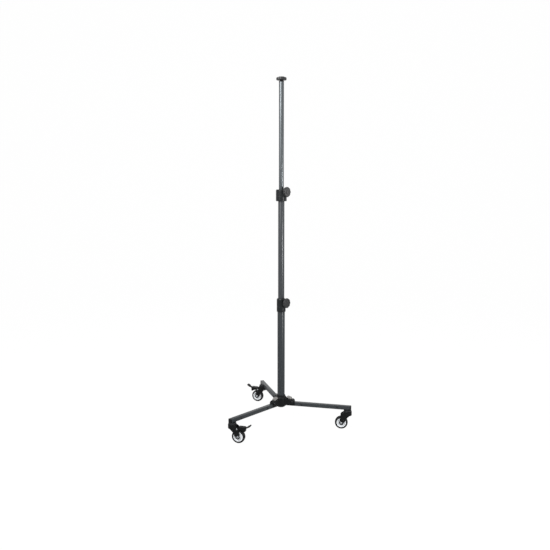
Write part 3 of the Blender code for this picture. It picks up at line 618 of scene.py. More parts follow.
def carved(base, steps):
    """One shape out of a base and (operation, shape) steps that join shapes to it or cut them out of it."""
    obj = loose_object(base)
    tools = []
    for operation, shape in steps:
        tools.append(loose_object(shape))
        modifier = obj.modifiers.new(operation.lower(), "BOOLEAN")
        modifier.operation = operation
        modifier.solver = "EXACT"
        modifier.object = tools[-1]
    mesh = settled(obj)
    for tool in tools:
        bpy.data.objects.remove(tool)
    return mesh


def soft_edged(mesh, grid, passes=4):
    """Round a shape's edges and fill its corners, as a casting or a moulding has them."""
    obj = loose_object(mesh)
    remesh = obj.modifiers.new("grid", "REMESH")
    remesh.mode = "VOXEL"
    remesh.voxel_size = grid
    remesh.adaptivity = 0.0
    smooth = obj.modifiers.new("fillets", "SMOOTH")
    smooth.factor = 0.5
    smooth.iterations = passes
    return settled(obj)


def grown(tree, values, start=None):
    """The plain mesh that a node tree makes from named input values."""
    obj = loose_object(start or bmesh.new(), tree.name)
    modifier = obj.modifiers.new(tree.name, "NODES")
    modifier.node_group = tree
    named = {item.name: item.identifier for item in tree.interface.items_tree if item.in_out == "INPUT"}
    for name, value in values.items():
        modifier[named[name]] = value
    return settled(obj)


def new_tree(name, inputs):
    """A geometry node tree with named inputs; gives the tree and its input node's outputs."""
    tree = bpy.data.node_groups.new(name, "GeometryNodeTree")
    for key, kind in inputs.items():
        tree.interface.new_socket(key, in_out="INPUT", socket_type=f"NodeSocket{kind}")
    tree.interface.new_socket("Made", in_out="OUTPUT", socket_type="NodeSocketGeometry")
    return tree, add_node(tree, "NodeGroupInput").outputs


def end_tree(tree, geometry, finish):
    """Finish a tree: make its instances real, coat the result and put it out."""
    real = add_node(tree, "GeometryNodeRealizeInstances", {"Geometry": geometry})
    coated = add_node(
        tree, "GeometryNodeSetMaterial", {"Geometry": real.outputs["Geometry"], "Material": finish}
    )
    add_node(tree, "NodeGroupOutput", {"Made": coated.outputs["Geometry"]})


def tube_tree():
    """Geometry nodes of a drawn tube: a wall's section, with its cut ends rounded, swept round the tube."""
    inputs = {"Square": "Bool", "Sides": "Int", "Finish": "Material"}
    inputs.update({key: "Float" for key in ("Size", "Wall", "Length", "Lip", "Corner")})
    tree, given = new_tree("Drawn tube", inputs)
    middle = add_node(tree, "ShaderNodeMath", {0: given["Size"], 1: given["Wall"]}, operation="SUBTRACT")
    radius = add_node(tree, "ShaderNodeMath", {0: middle.outputs[0], 1: 2.0}, operation="DIVIDE")
    circle = add_node(
        tree, "GeometryNodeCurvePrimitiveCircle", {"Resolution": given["Sides"], "Radius": radius.outputs[0]}
    )
    square = add_node(
        tree,
        "GeometryNodeCurvePrimitiveQuadrilateral",
        {"Width": middle.outputs[0], "Height": middle.outputs[0]},
    )
    half_wall = add_node(tree, "ShaderNodeMath", {0: given["Wall"], 1: 0.5}, operation="MULTIPLY")
    bend = add_node(
        tree, "ShaderNodeMath", {0: given["Corner"], 1: half_wall.outputs[0]}, operation="SUBTRACT"
    )
    cornered = add_node(
        tree,
        "GeometryNodeFilletCurve",
        {"Curve": square.outputs["Curve"], "Count": 6, "Radius": bend.outputs[0], "Limit Radius": True},
        mode="POLY",
    )
    path = add_node(
        tree,
        "GeometryNodeSwitch",
        {"Switch": given["Square"], "False": circle.outputs["Curve"], "True": cornered.outputs["Curve"]},
        input_type="GEOMETRY",
    )
    section = add_node(
        tree, "GeometryNodeCurvePrimitiveQuadrilateral", {"Width": given["Wall"], "Height": given["Length"]}
    )
    lipped = add_node(
        tree,
        "GeometryNodeFilletCurve",
        {"Curve": section.outputs["Curve"], "Count": 3, "Radius": given["Lip"], "Limit Radius": True},
        mode="POLY",
    )
    swept = add_node(
        tree,
        "GeometryNodeCurveToMesh",
        {"Curve": path.outputs["Output"], "Profile Curve": lipped.outputs["Curve"]},
    )
    end_tree(tree, swept.outputs["Mesh"], given["Finish"])
    return tree


def bolt_tree():
    """Geometry nodes of through bolts: a domed head on each end, with a hexagon socket if it has one.

    A bolt stands on each point that comes in, along the direction in the point's facing attribute.
    """
    inputs = {"Points": "Geometry", "Sides": "Int", "Finish": "Material", "Has Socket": "Bool"}
    inputs.update({key: "Float" for key in ("Head Radius", "Head Height", "Seat", "Shank Radius")})
    tree, given = new_tree("Through bolts", inputs)
    # A ball's points under this height go, and the ring round its middle stays
    just_under_middle = -0.01
    # The socket's share of the head's radius, and how far the shank runs into the head's height
    socket_share = 0.5
    shank_share = 0.3
    ball = add_node(
        tree, "GeometryNodeMeshUVSphere", {"Segments": given["Sides"], "Rings": 16, "Radius": 1.0}
    )
    place = add_node(tree, "GeometryNodeInputPosition")
    height = add_node(tree, "ShaderNodeSeparateXYZ", {"Vector": place.outputs["Position"]})
    below = add_node(
        tree,
        "FunctionNodeCompare",
        {0: height.outputs["Z"], 1: just_under_middle},
        data_type="FLOAT",
        operation="LESS_THAN",
    )
    dome = add_node(
        tree,
        "GeometryNodeDeleteGeometry",
        {"Geometry": ball.outputs["Mesh"], "Selection": below.outputs["Result"]},
        domain="POINT",
    )
    under = add_node(
        tree, "GeometryNodeMeshCircle", {"Vertices": given["Sides"], "Radius": 1.0}, fill_type="NGON"
    )
    both = add_node(tree, "GeometryNodeJoinGeometry", {"Geometry": [dome.outputs[0], under.outputs["Mesh"]]})
    closed = add_node(tree, "GeometryNodeMergeByDistance", {"Geometry": both.outputs[0], "Distance": 0.001})
    size = add_node(
        tree,
        "ShaderNodeCombineXYZ",
        {"X": given["Head Radius"], "Y": given["Head Radius"], "Z": given["Head Height"]},
    )
    lift = add_node(tree, "ShaderNodeCombineXYZ", {"Z": given["Seat"]})
    head = add_node(
        tree,
        "GeometryNodeTransform",
        {"Geometry": closed.outputs[0], "Translation": lift.outputs[0], "Scale": size.outputs[0]},
    )
    key_radius = add_node(
        tree, "ShaderNodeMath", {0: given["Head Radius"], 1: socket_share}, operation="MULTIPLY"
    )
    key = add_node(
        tree,
        "GeometryNodeMeshCylinder",
        {"Vertices": 6, "Radius": key_radius.outputs[0], "Depth": given["Head Height"]},
    )
    top = add_node(tree, "ShaderNodeMath", {0: given["Seat"], 1: given["Head Height"]}, operation="ADD")
    crown = add_node(tree, "ShaderNodeCombineXYZ", {"Z": top.outputs[0]})
    key_place = add_node(
        tree, "GeometryNodeTransform", {"Geometry": key.outputs["Mesh"], "Translation": crown.outputs[0]}
    )
    socketed = add_node(
        tree,
        "GeometryNodeMeshBoolean",
        {"Mesh 1": head.outputs[0], "Mesh 2": key_place.outputs[0]},
        operation="DIFFERENCE",
    )
    chosen = add_node(
        tree,
        "GeometryNodeSwitch",
        {"Switch": given["Has Socket"], "False": head.outputs[0], "True": socketed.outputs[0]},
        input_type="GEOMETRY",
    )
    other = add_node(
        tree, "GeometryNodeTransform", {"Geometry": chosen.outputs[0], "Rotation": (math.pi, 0.0, 0.0)}
    )
    overlap = add_node(
        tree, "ShaderNodeMath", {0: given["Head Height"], 1: shank_share}, operation="MULTIPLY"
    )
    shank_end = add_node(tree, "ShaderNodeMath", {0: given["Seat"], 1: overlap.outputs[0]}, operation="ADD")
    length = add_node(tree, "ShaderNodeMath", {0: shank_end.outputs[0], 1: 2.0}, operation="MULTIPLY")
    shank = add_node(
        tree,
        "GeometryNodeMeshCylinder",
        {"Vertices": given["Sides"], "Radius": given["Shank Radius"], "Depth": length.outputs[0]},
    )
    bolt = add_node(
        tree,
        "GeometryNodeMeshBoolean",
        {"Mesh 2": [chosen.outputs[0], other.outputs[0], shank.outputs["Mesh"]]},
        operation="UNION",
    )
    facing = add_node(
        tree, "GeometryNodeInputNamedAttribute", {"Name": "facing"}, data_type="FLOAT_VECTOR"
    )
    turn = add_node(tree, "FunctionNodeAlignRotationToVector", {"Vector": facing.outputs[0]}, axis="Z")
    set_out = add_node(
        tree,
        "GeometryNodeInstanceOnPoints",
        {"Points": given["Points"], "Instance": bolt.outputs[0], "Rotation": turn.outputs["Rotation"]},
    )
    end_tree(tree, set_out.outputs["Instances"], given["Finish"])
    return tree


class STAND_OT_mast_tubes(bpy.types.Operator):
    """Make the three tubes of the mast"""

    bl_idname = "light_stand.mast_tubes"
    bl_label = "Mast Tubes"

    def execute(self, context):
        sizes = context.scene.stand_sizes
        tree = tube_tree()
        coats = {"lower_tube": "powder_coat", "middle_tube": "silver_coat", "top_tube": "top_coat"}
        for name, slot in coats.items():
            low, high = span(name, MAST)
            values = {
                "Size": 2.0 * reach(name, MAST),
                "Wall": sizes.tube_wall,
                "Length": high.z - low.z,
                "Lip": sizes.tube_lip,
                "Square": False,
                "Sides": sizes.round_sides,
                "Finish": finish_of(slot),
            }
            place = MAST @ Matrix.Translation((0.0, 0.0, (low.z + high.z) / 2.0))
            fitted(name, grown(tree, values), place, slot)
        return {"FINISHED"}


class STAND_OT_leg_tubes(bpy.types.Operator):
    """Make the three square leg tubes"""

    bl_idname = "light_stand.leg_tubes"
    bl_label = "Leg Tubes"

    def execute(self, context):
        sizes = context.scene.stand_sizes
        values = {
            "Size": 2.0 * LEG_HALF,
            "Wall": sizes.tube_wall,
            "Length": LEG_HIGH.x - LEG_LOW.x,
            "Lip": sizes.tube_lip,
            "Corner": sizes.leg_corner,
            "Square": True,
            "Sides": sizes.round_sides,
            "Finish": finish_of("powder_coat"),
        }
        mesh = grown(tube_tree(), values)
        laid = Matrix.Translation((LEG_LOW + LEG_HIGH) / 2.0) @ Matrix.Rotation(math.radians(90.0), 4, "Y")
        for side in SIDES:
            fitted(f"{side}_leg_tube", mesh, LEG[side] @ laid, "powder_coat")
        return {"FINISHED"}


def hub_core(sizes):
    """The hub's round core: a socket for the lower tube, a collar above and a domed underside."""
    low, high = span("hub_body", MAST)
    outer = SOCKET_RADIUS + sizes.hub_wall
    collar_wall = 2.45 * MM
    collar_height = 8.5 * MM
    collar = SOCKET_RADIUS + collar_wall
    step = high.z - collar_height
    floor = span("lower_tube", MAST)[0].z - CLEARANCE
    corners = [
        (14.0 * MM, low.z, 0.0),
        (18.0 * MM, low.z + 0.8 * MM, 5.0 * MM),
        (outer - 2.0 * MM, floor - 0.5 * MM, 8.0 * MM),
        (outer, LEG_AXIS - 3.0 * MM, 6.0 * MM),
        (outer, step - 4.0 * MM, 2.5 * MM),
        (outer - 3.5 * MM, step, 1.2 * MM),
        (collar, step + 0.5 * MM, 1.0 * MM),
        (collar, high.z, 0.9 * MM),
        (SOCKET_RADIUS, high.z, 0.4 * MM),
        (SOCKET_RADIUS, floor, 0.0),
    ]
    return revolved(filleted(corners, closed=False), sizes.round_sides)


def ear_outline():
    """Side view of a bracket ear: deep at the hub, a boss at the pivot, cut back below for the leg."""
    root = SOCKET_RADIUS + CLEARANCE
    low = LEG_AXIS - 9.0 * MM
    top = LEVER_PIN.y + 4.5 * MM
    start = filleted(
        [(root, low), (PIVOT.x - 21.0 * MM, low, 8.0 * MM), (PIVOT.x - 11.0 * MM, low + 4.0 * MM)],
        closed=False,
    )
    boss_radius = 11.0 * MM
    boss = arc(PIVOT, boss_radius, -70, 110, 28)
    end = filleted([boss[-1], (LEVER_PIN.x + 4.5 * MM, top, 3.0 * MM), (root, top)], closed=False)
    return start + boss + end[1:]


class STAND_OT_hub(bpy.types.Operator):
    """Cast the hub: its core with three pairs of ears, drilled for the pivots, pins and tube screw"""

    bl_idname = "light_stand.hub"
    bl_label = "Hub"

    def execute(self, context):
        sizes = context.scene.stand_sizes
        inner = LEG_HALF + CLEARANCE
        outer = inner + sizes.ear_wall
        screw_hole = 3.3 * MM
        steps = []
        for side in SIDES:
            for hand in (-1.0, 1.0):
                ear = plate(ear_outline(), hand * inner, hand * outer)
                ear.transform(MAST.inverted() @ LEG[side])
                steps.append(("UNION", ear))
        for side in SIDES:
            for radius, place in ((BOLT_HOLE, PIVOT), (PIN_HOLE, LEVER_PIN)):
                hole = cross_rod(radius, place, 2.0 * outer)
                hole.transform(MAST.inverted() @ LEG[side])
                steps.append(("DIFFERENCE", hole))
        drilled = rod(screw_hole, -10.0 * MM, 20.0 * MM, MAST.inverted() @ screw_frame())
        steps.append(("DIFFERENCE", drilled))
        mesh = soft_edged(carved(hub_core(sizes), steps), sizes.casting_grid)
        fitted("hub_body", mesh, MAST, "hub_casting", SOFT_SHARP)
        return {"FINISHED"}


def screw_frame():
    """A frame in the middle of the tube screw, whose +Z runs out of the hub."""
    low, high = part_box("tube_screw")
    middle = (Vector(low) + Vector(high)) / 2.0
    out = middle - MAST.translation
    return along_axis(middle, (out.x, out.y, 0.0))


def knuckle_outline():
    """Side view of a knuckle: a block in line with the leg under a round with two lock notches."""
    low, high = span("right_knuckle", LEG["right"])
    radius = high.z - PIVOT.y
    top = LEG_HIGH.z
    shoulder = LEG_LOW.x - CLEARANCE
    dip = math.degrees(math.asin((top - PIVOT.y) / radius))
    notch_depth = 2.2 * MM
    floor = radius - notch_depth
    # Half a notch's width, and where the notches for the folded and the lowered leg are, in degrees
    half = 11
    folded = 45
    lowered = 135
    outline = [(low.x, LEG_LOW.z), (shoulder, LEG_LOW.z), (shoulder, top)]
    outline += arc(PIVOT, radius, dip, folded - half, 8)
    outline += arc(PIVOT, floor, folded - half, folded + half, 4)
    outline += arc(PIVOT, radius, folded + half, lowered - half, 14)
    outline += arc(PIVOT, floor, lowered - half, lowered + half, 4)
    outline += arc(PIVOT, radius, lowered + half, 180 - dip, 8)
    outline += [(low.x + 6.0 * MM, top), (low.x, top - 4.0 * MM)]
    return outline


class STAND_OT_knuckles(bpy.types.Operator):
    """Cast the legs' inner end fittings, which turn between the ears and are bolted into the legs"""

    bl_idname = "light_stand.knuckles"
    bl_label = "Knuckles"

    def execute(self, context):
        sizes = context.scene.stand_sizes
        end = span("right_knuckle", LEG["right"])[1].x
        half = LEG_HALF - sizes.tube_wall - CLEARANCE
        section = [(-half, -half), (half, -half), (half, half), (-half, half)]
        root = LEG_LOW.x - 5.0 * MM
        tang = skinned([[(x, y, LEG_AXIS + z) for y, z in section] for x in (root, end)])
        bolt_inset = 10.0 * MM
        bolt = (end - bolt_inset, LEG_AXIS)
        steps = [
            ("UNION", tang),
            ("DIFFERENCE", cross_rod(BOLT_HOLE, PIVOT, 2.0 * LEG_HALF)),
            ("DIFFERENCE", cross_rod(CROSS_HOLE, bolt, 2.0 * LEG_HALF)),
        ]
        block = plate(knuckle_outline(), -LEG_HALF, LEG_HALF)
        mesh = soft_edged(carved(block, steps), sizes.moulding_grid, 3)
        for side in SIDES:
            fitted(f"{side}_knuckle", mesh, LEG[side], "hub_casting", SOFT_SHARP)
        return {"FINISHED"}


def lever_outline():
    """Side view of a lock lever: a thumb pad that slopes out to the nose, over a boss round its pin."""
    x, z = LEVER_PIN
    high = span("right_lock_lever", LEG["right"])[1]
    boss_radius = 4.2 * MM
    nose_radius = 10.8 * MM
    nose = arc(PIVOT, nose_radius, 135, 135, 1)[0]
    pad = filleted(
        [
            (nose[0], nose[1]),
            (nose[0] + 3.2 * MM, nose[1] + 5.8 * MM, 1.2 * MM),
            (high.x, z + 9.0 * MM, 1.5 * MM),
            (x - 4.0 * MM, high.z, 6.0 * MM),
            (x - 11.0 * MM, high.z, 1.8 * MM),
            (x - 12.5 * MM, z + 8.5 * MM, 1.6 * MM),
            (x - 5.0 * MM, z + 7.5 * MM, 2.0 * MM),
            arc(LEVER_PIN, boss_radius, 130, 130, 1)[0],
        ],
        closed=False,
    )
    return pad + arc(LEVER_PIN, boss_radius, 140, 325, 20)


class STAND_OT_levers(bpy.types.Operator):
    """Press the lock levers on top of the brackets"""

    bl_idname = "light_stand.levers"
    bl_label = "Lock Levers"

    def execute(self, context):
        grid = context.scene.stand_sizes.moulding_grid
        half = LEG_HALF - CLEARANCE
        hole = cross_rod(PIN_HOLE, LEVER_PIN, 2.0 * LEG_HALF)
        mesh = soft_edged(carved(plate(lever_outline(), -half, half), [("DIFFERENCE", hole)]), grid, 3)
        for side in SIDES:
            fitted(f"{side}_lock_lever", mesh, LEG[side], "lever_steel", SOFT_SHARP)
        return {"FINISHED"}


def collar_shape(name, outer_tube, inner_tube, knob, sizes):
    """A clamp collar about the mast, with a boss for the clamp screw and a web under the boss."""
    low, high = span(name, MAST)
    skirt = reach(outer_tube, MAST) + CLEARANCE
    head = reach(inner_tube, MAST) + CLEARANCE
    shoulder = span(outer_tube, MAST)[1].z + CLEARANCE
    head_depth = 6.0 * MM
    outer = max(point.xy.length for point in local_points(name, MAST) if point.z > high.z - head_depth)
    groove = outer - 0.5 * MM
    corners = [
        (skirt, low.z, 0.4 * MM),
        (outer - 1.2 * MM, low.z, 0.8 * MM),
        (outer, low.z + 2.5 * MM, 1.0 * MM),
        (outer, shoulder - 4.0 * MM, 0.6 * MM),
        (groove, shoulder - 3.2 * MM, 0.4 * MM),
        (groove, shoulder - 1.8 * MM, 0.4 * MM),
        (outer, shoulder - 1.0 * MM, 0.6 * MM),
        (outer, high.z - 4.6 * MM, 2.0 * MM),
        (outer - 2.5 * MM, high.z, 1.2 * MM),
        (head, high.z, 0.4 * MM),
        (head, shoulder, 0.0),
        (skirt, shoulder, 0.0),
    ]
    ring = revolved(filleted(corners), sizes.round_sides, closed=True)
    screw = MAST.inverted() @ KNOB[knob]
    knob_back = span(knob, KNOB[knob])[1].z - KNOB_DEPTH - CLEARANCE
    rise = screw.translation.z
    boss_radius = 10.0 * MM
    boss = rod(boss_radius, head + 2.0 * MM, knob_back, screw, sizes.round_sides)
    hole = rod(BOLT_HOLE, head / 2.0, knob_back + 10.0 * MM, screw, 48)
    out = screw.to_3x3() @ Vector((0.0, 0.0, 1.0))
    web_half = 4.0 * MM
    plan = [(skirt + 2.0 * MM, -web_half), (knob_back - 1.7 * MM, -web_half)]
    plan += [(x, -y) for x, y in reversed(plan)]
    web = slab(plan, low.z + 2.5 * MM, rise)
    web.transform(upright((0.0, 0.0), out))
    return carved(ring, [("UNION", boss), ("UNION", web), ("DIFFERENCE", hole)])


class STAND_OT_collars(bpy.types.Operator):
    """Mould the two clamp collars"""

    bl_idname = "light_stand.collars"
    bl_label = "Clamp Collars"

    def execute(self, context):
        sizes = context.scene.stand_sizes
        clamps = {
            "lower_collar": ("lower_tube", "middle_tube", "lower_knob"),
            "upper_collar": ("middle_tube", "top_tube", "upper_knob"),
        }
        for name, neighbours in clamps.items():
            mesh = soft_edged(collar_shape(name, *neighbours, sizes), sizes.moulding_grid)
            fitted(name, mesh, MAST, "collar_plastic", SOFT_SHARP)
        return {"FINISHED"}


def knob_shape(stud_low, seat, radius, front, boss_radius, boss_front, sizes):
    """A hand knob about Z: its stud, its lobed head with a dished face, and the boss in the middle."""
    back = front - KNOB_DEPTH
    dish = front - 1.4 * MM
    stud = 4.0 * MM
    tip = 0.8 * MM
    corners = [
        (stud - tip, stud_low, 0.0),
        (stud, stud_low + tip, 0.2 * MM),
        (stud, seat, 0.0),
        (8.0 * MM, seat, 0.5 * MM),
        (9.0 * MM, back, 0.8 * MM),
        (radius - 2.4 * MM, back + 0.6 * MM, 1.6 * MM),
        (radius, back + 3.6 * MM, 2.0 * MM),
        (radius, front - 2.4 * MM, 2.0 * MM),
        (radius - 2.0 * MM, front, 1.4 * MM),
        (radius - 4.6 * MM, front, 0.6 * MM),
        (radius - 5.6 * MM, dish, 0.5 * MM),
        (boss_radius + 0.8 * MM, dish, 0.8 * MM),
        (boss_radius, boss_front, 0.8 * MM),
        (boss_radius - 1.8 * MM, boss_front, 0.3 * MM),
        (boss_radius - 2.4 * MM, boss_front - 0.6 * MM, 0.3 * MM),
        (0.6 * MM, boss_front - 0.6 * MM, 0.0),
    ]
    mesh = revolved(filleted(corners, closed=False), 2 * sizes.round_sides)
    # The lobes fade in from this far inside the rim, over this width
    lobe_inset = 5.0 * MM
    fade = 3.0 * MM
    for vertex in mesh.verts:
        distance = vertex.co.xy.length
        grip = min(1.0, max(0.0, (distance - (radius - lobe_inset)) / fade))
        if grip and vertex.co.z > back - 0.1 * MM:
            angle = math.atan2(vertex.co.y, vertex.co.x)
            hollow = (0.5 - 0.5 * math.cos(sizes.knob_lobes * angle)) ** 2
            vertex.co.xy *= 1.0 - grip * sizes.lobe_depth * hollow / distance
    return mesh


class STAND_OT_knobs(bpy.types.Operator):
    """Mould the two clamp knobs and the lamp knob"""

    bl_idname = "light_stand.knobs"
    bl_label = "Hand Knobs"

    def execute(self, context):
        sizes = context.scene.stand_sizes
        for name, matrix in KNOB.items():
            low, high = span(name, matrix)
            radius = reach(name, matrix)
            front = high.z
            seat = front - KNOB_DEPTH
            boss = 10.0 * MM
            if name == "lamp_knob":
                # Its boss is wider and stands proud, and its neck comes down to the top plug
                front = high.z - 3.0 * MM
                seat = front - 16.7 * MM
                boss = 15.0 * MM
            mesh = knob_shape(low.z, seat, radius, front, boss, high.z, sizes)
            fitted(name, mesh, matrix, "knob_plastic")
        return {"FINISHED"}


def crown_shape(sizes):
    """A fork's cup-shaped crown, about its swivel axis."""
    wall = 3.7 * MM
    top_thickness = 8.2 * MM
    cup = CROWN_RADIUS - wall
    roof = FORK_TOP - top_thickness
    corners = [
        (BOLT_HOLE, FORK_TOP, 0.0),
        (CROWN_RADIUS, FORK_TOP, 2.0 * MM),
        (CROWN_RADIUS, CROWN_LOW, 1.6 * MM),
        (cup, CROWN_LOW, 0.8 * MM),
        (cup, roof, 1.5 * MM),
        (BOLT_HOLE, roof, 0.0),
    ]
    return revolved(filleted(corners), sizes.round_sides, closed=True)


def cheek_outline(outer):
    """Side view of a fork cheek: under the crown, swept back to a boss round the axle."""
    top = FORK_TOP - 3.0 * MM
    # Just inside the crown's round, at the cheek's outer face
    front = 0.8 * MM - math.sqrt(CROWN_RADIUS**2 - outer**2)
    back = TRAIL + 5.0 * MM
    boss_radius = 11.5 * MM
    boss = arc((TRAIL, WHEEL_RADIUS), boss_radius, 205, 365, 26)
    start = filleted(
        [
            (front, top),
            (front, CROWN_LOW + 3.0 * MM, 4.0 * MM),
            (front + 18.3 * MM, CROWN_LOW - 15.0 * MM, 12.0 * MM),
            boss[0],
        ],
        closed=False,
    )
    end = filleted(
        [
            boss[-1],
            (back, CROWN_LOW - 12.0 * MM, 8.0 * MM),
            (back, BRAKE_PIN.y + 1.0 * MM, 3.0 * MM),
            (back - 3.5 * MM, BRAKE_PIN.y + 6.5 * MM, 4.0 * MM),
            (back - 19.5 * MM, top),
        ],
        closed=False,
    )
    return start + boss[1:] + end[1:]


class STAND_OT_forks(bpy.types.Operator):
    """Mould the casters' forks"""

    bl_idname = "light_stand.forks"
    bl_label = "Caster Forks"

    def execute(self, context):
        sizes = context.scene.stand_sizes
        outer = CHEEK_INNER + sizes.cheek_wall
        for with_brake in (False, True):
            steps = []
            for hand in (-1.0, 1.0):
                steps.append(("UNION", plate(cheek_outline(outer), hand * CHEEK_INNER, hand * outer)))
            steps.append(("DIFFERENCE", cross_rod(BOLT_HOLE, (TRAIL, WHEEL_RADIUS), 2.0 * outer)))
            if with_brake:
                steps.append(("DIFFERENCE", cross_rod(PIN_HOLE, BRAKE_PIN, 2.0 * outer)))
            mesh = soft_edged(carved(crown_shape(sizes), steps), sizes.moulding_grid)
            for side in SIDES:
                if (side in BRAKED) == with_brake:
                    fitted(f"{side}_fork", mesh, SWIVEL[side], "black_plastic", SOFT_SHARP)
        return {"FINISHED"}


def pedal_outline(travel):
    """Side view of a brake pedal, from its pin: shoe over the tyre, arm and raised toe."""
    x, z = BRAKE_PIN
    up = Matrix.Rotation(travel, 2)
    pressed_gap = 0.9 * MM
    pressed = arc((TRAIL, WHEEL_RADIUS), WHEEL_RADIUS + pressed_gap, 96, 40, 20)
    shoe = [tuple(BRAKE_PIN + up @ (Vector(point) - BRAKE_PIN)) for point in pressed]
    # Back from the pin, up from it, and the corner's fillet, all in millimetres
    corners = [
        (40.5, -11.5, 0.8),
        (42.5, -7.0, 1.5),
        (42.5, 1.0, 2.5),
        (50.0, 6.5, 8.0),
        (65.0, 14.5, 6.0),
        (69.0, 18.5, 1.2),
        (67.5, 21.5, 1.2),
        (63.0, 21.0, 6.0),
        (50.0, 13.0, 8.0),
        (43.0, 8.5, 3.0),
        (39.0, 10.0, 2.5),
        (11.0, 10.5, 3.0),
        (3.0, 6.2, 3.0),
        (-3.5, 3.5, 2.0),
        (-4.5, -2.5, 2.0),
        (-2.0, -4.8, 1.2),
    ]
    rest = [(x + along * MM, z + up_by * MM, fillet * MM) for along, up_by, fillet in corners]
    return filleted([(*shoe[-1], 0.0)] + rest + [(*shoe[0], 0.0)], closed=False) + shoe[1:-1]


def pedal_plan():
    """Plan of a brake pedal: a wide body, a narrow arm and a wide toe."""
    body = (CHEEK_INNER - 1.0 * MM) / MM
    # Back from the pin, across, and the corner's fillet, all in millimetres
    corners = [
        (-10.0, body, 0.0),
        (39.5, body, 2.0),
        (43.0, 6.0, 1.5),
        (48.0, 6.0, 2.0),
        (52.0, 10.0, 3.0),
        (66.0, 10.0, 4.0),
        (71.0, 4.0, 3.0),
    ]
    corners += [(x, -y, fillet) for x, y, fillet in reversed(corners)]
    return filleted([(BRAKE_PIN.x + x * MM, y * MM, fillet * MM) for x, y, fillet in corners])


class STAND_OT_pedals(bpy.types.Operator):
    """Mould the brake pedals"""

    bl_idname = "light_stand.pedals"
    bl_label = "Brake Pedals"

    def execute(self, context):
        sizes = context.scene.stand_sizes
        travel = math.radians(JOINTS["left_brake_press"]["range_deg"][1])
        outer = CHEEK_INNER + sizes.cheek_wall
        steps = [
            ("INTERSECT", slab(pedal_plan(), 0.0, 2.0 * FORK_TOP)),
            ("DIFFERENCE", cross_rod(PIN_HOLE, BRAKE_PIN, 2.0 * outer)),
        ]
        mesh = soft_edged(carved(plate(pedal_outline(travel), -outer, outer), steps), sizes.moulding_grid, 3)
        for side in BRAKED:
            fitted(f"{side}_brake_pedal", mesh, SWIVEL[side], "black_plastic", SOFT_SHARP)
        return {"FINISHED"}


class STAND_OT_wheels(bpy.types.Operator):
    """Make the tyres and rims"""

    bl_idname = "light_stand.wheels"
    bl_label = "Wheels"

    def execute(self, context):
        sides = context.scene.stand_sizes.round_sides
        half = span("right_tyre", WHEEL["right"])[1].z
        rim_radius = reach("right_rim", WHEEL["right"])
        for side in SIDES:
            tyre = tyre_shape(rim_radius + CLEARANCE, half, sides)
            fitted(f"{side}_tyre", tyre, WHEEL[side], "tyre_rubber")
            fitted(f"{side}_rim", rim_shape(rim_radius, half, sides), WHEEL[side], "rim_plastic")
        return {"FINISHED"}


def tyre_shape(bore, half, sides):
    """A tyre about Z, with a crowned tread and rounded shoulders."""
    outer = WHEEL_RADIUS
    corners = [
        (bore, -half + 0.4 * MM, 0.4 * MM),
        (outer - 5.0 * MM, -half, 2.0 * MM),
        (outer - 0.6 * MM, -half + 2.6 * MM, 2.6 * MM),
        (outer, 0.0, 6.0 * MM),
        (outer - 0.6 * MM, half - 2.6 * MM, 2.6 * MM),
        (outer - 5.0 * MM, half, 2.0 * MM),
        (bore, half - 0.4 * MM, 0.4 * MM),
    ]
    return revolved(filleted(corners), sides, closed=True)


def rim_shape(radius, half, sides):
    """A nylon rim about Z: a rounded lip, dished faces with a step, and a hub round the axle."""
    side = [
        (BOLT_HOLE, RIM_END, 0.3 * MM),
        (8.6 * MM, RIM_END, 0.8 * MM),
        (9.4 * MM, half - 3.6 * MM, 1.6 * MM),
        (radius - 6.0 * MM, half - 4.2 * MM, 1.6 * MM),
        (radius - 3.4 * MM, half - 0.6 * MM, 1.2 * MM),
        (radius - 0.6 * MM, half - 0.4 * MM, 0.5 * MM),
        (radius, half - 1.4 * MM, 0.4 * MM),
    ]
    corners = side + [(x, -z, fillet) for x, z, fillet in reversed(side)]
    return revolved(filleted(corners), sides, closed=True)


def caster_base_profile():
    """Half section of a caster base: the kingpin with its head, a stepped flange, and the stem above."""
    low, high = span("right_caster_base", SWIVEL["right"])
    flange_low = FORK_TOP + CLEARANCE
    flange_high = LEG_LOW.z - CLEARANCE
    head_top = low.z + 4.0 * MM
    core = 0.5 * MM
    head = 8.0 * MM
    kingpin = 4.0 * MM
    flange = 20.0 * MM
    step = 18.8 * MM
    stem = 5.0 * MM
    corners = [
        (core, low.z, 0.0),
        (head, low.z, 0.8 * MM),
        (head, head_top, 0.5 * MM),
        (kingpin, head_top, 0.0),
        (kingpin, flange_low, 0.0),
        (flange, flange_low, 0.8 * MM),
        (flange, flange_low + 3.4 * MM, 0.6 * MM),
        (step, flange_low + 4.2 * MM, 0.5 * MM),
        (step, flange_high, 1.6 * MM),
        (stem, flange_high, 0.0),
        (stem, high.z, 0.8 * MM),
        (core, high.z, 0.0),
    ]
    return filleted(corners, closed=False)


def top_plug_shape(sizes):
    """The plug in the top tube's end: a spigot inside the tube under a rim as wide as the tube."""
    low, high = span("top_plug", MAST)
    tube = reach("top_tube", MAST)
    under = span("top_tube", MAST)[1].z + CLEARANCE
    spigot = tube - sizes.tube_wall - CLEARANCE
    corners = [
        (BOLT_HOLE, low.z, 0.4 * MM),
        (spigot, low.z, 1.0 * MM),
        (spigot, under, 0.0),
        (tube, under, 0.4 * MM),
        (tube, high.z, 0.8 * MM),
        (BOLT_HOLE, high.z, 0.4 * MM),
    ]
    return revolved(filleted(corners), sizes.round_sides, closed=True)


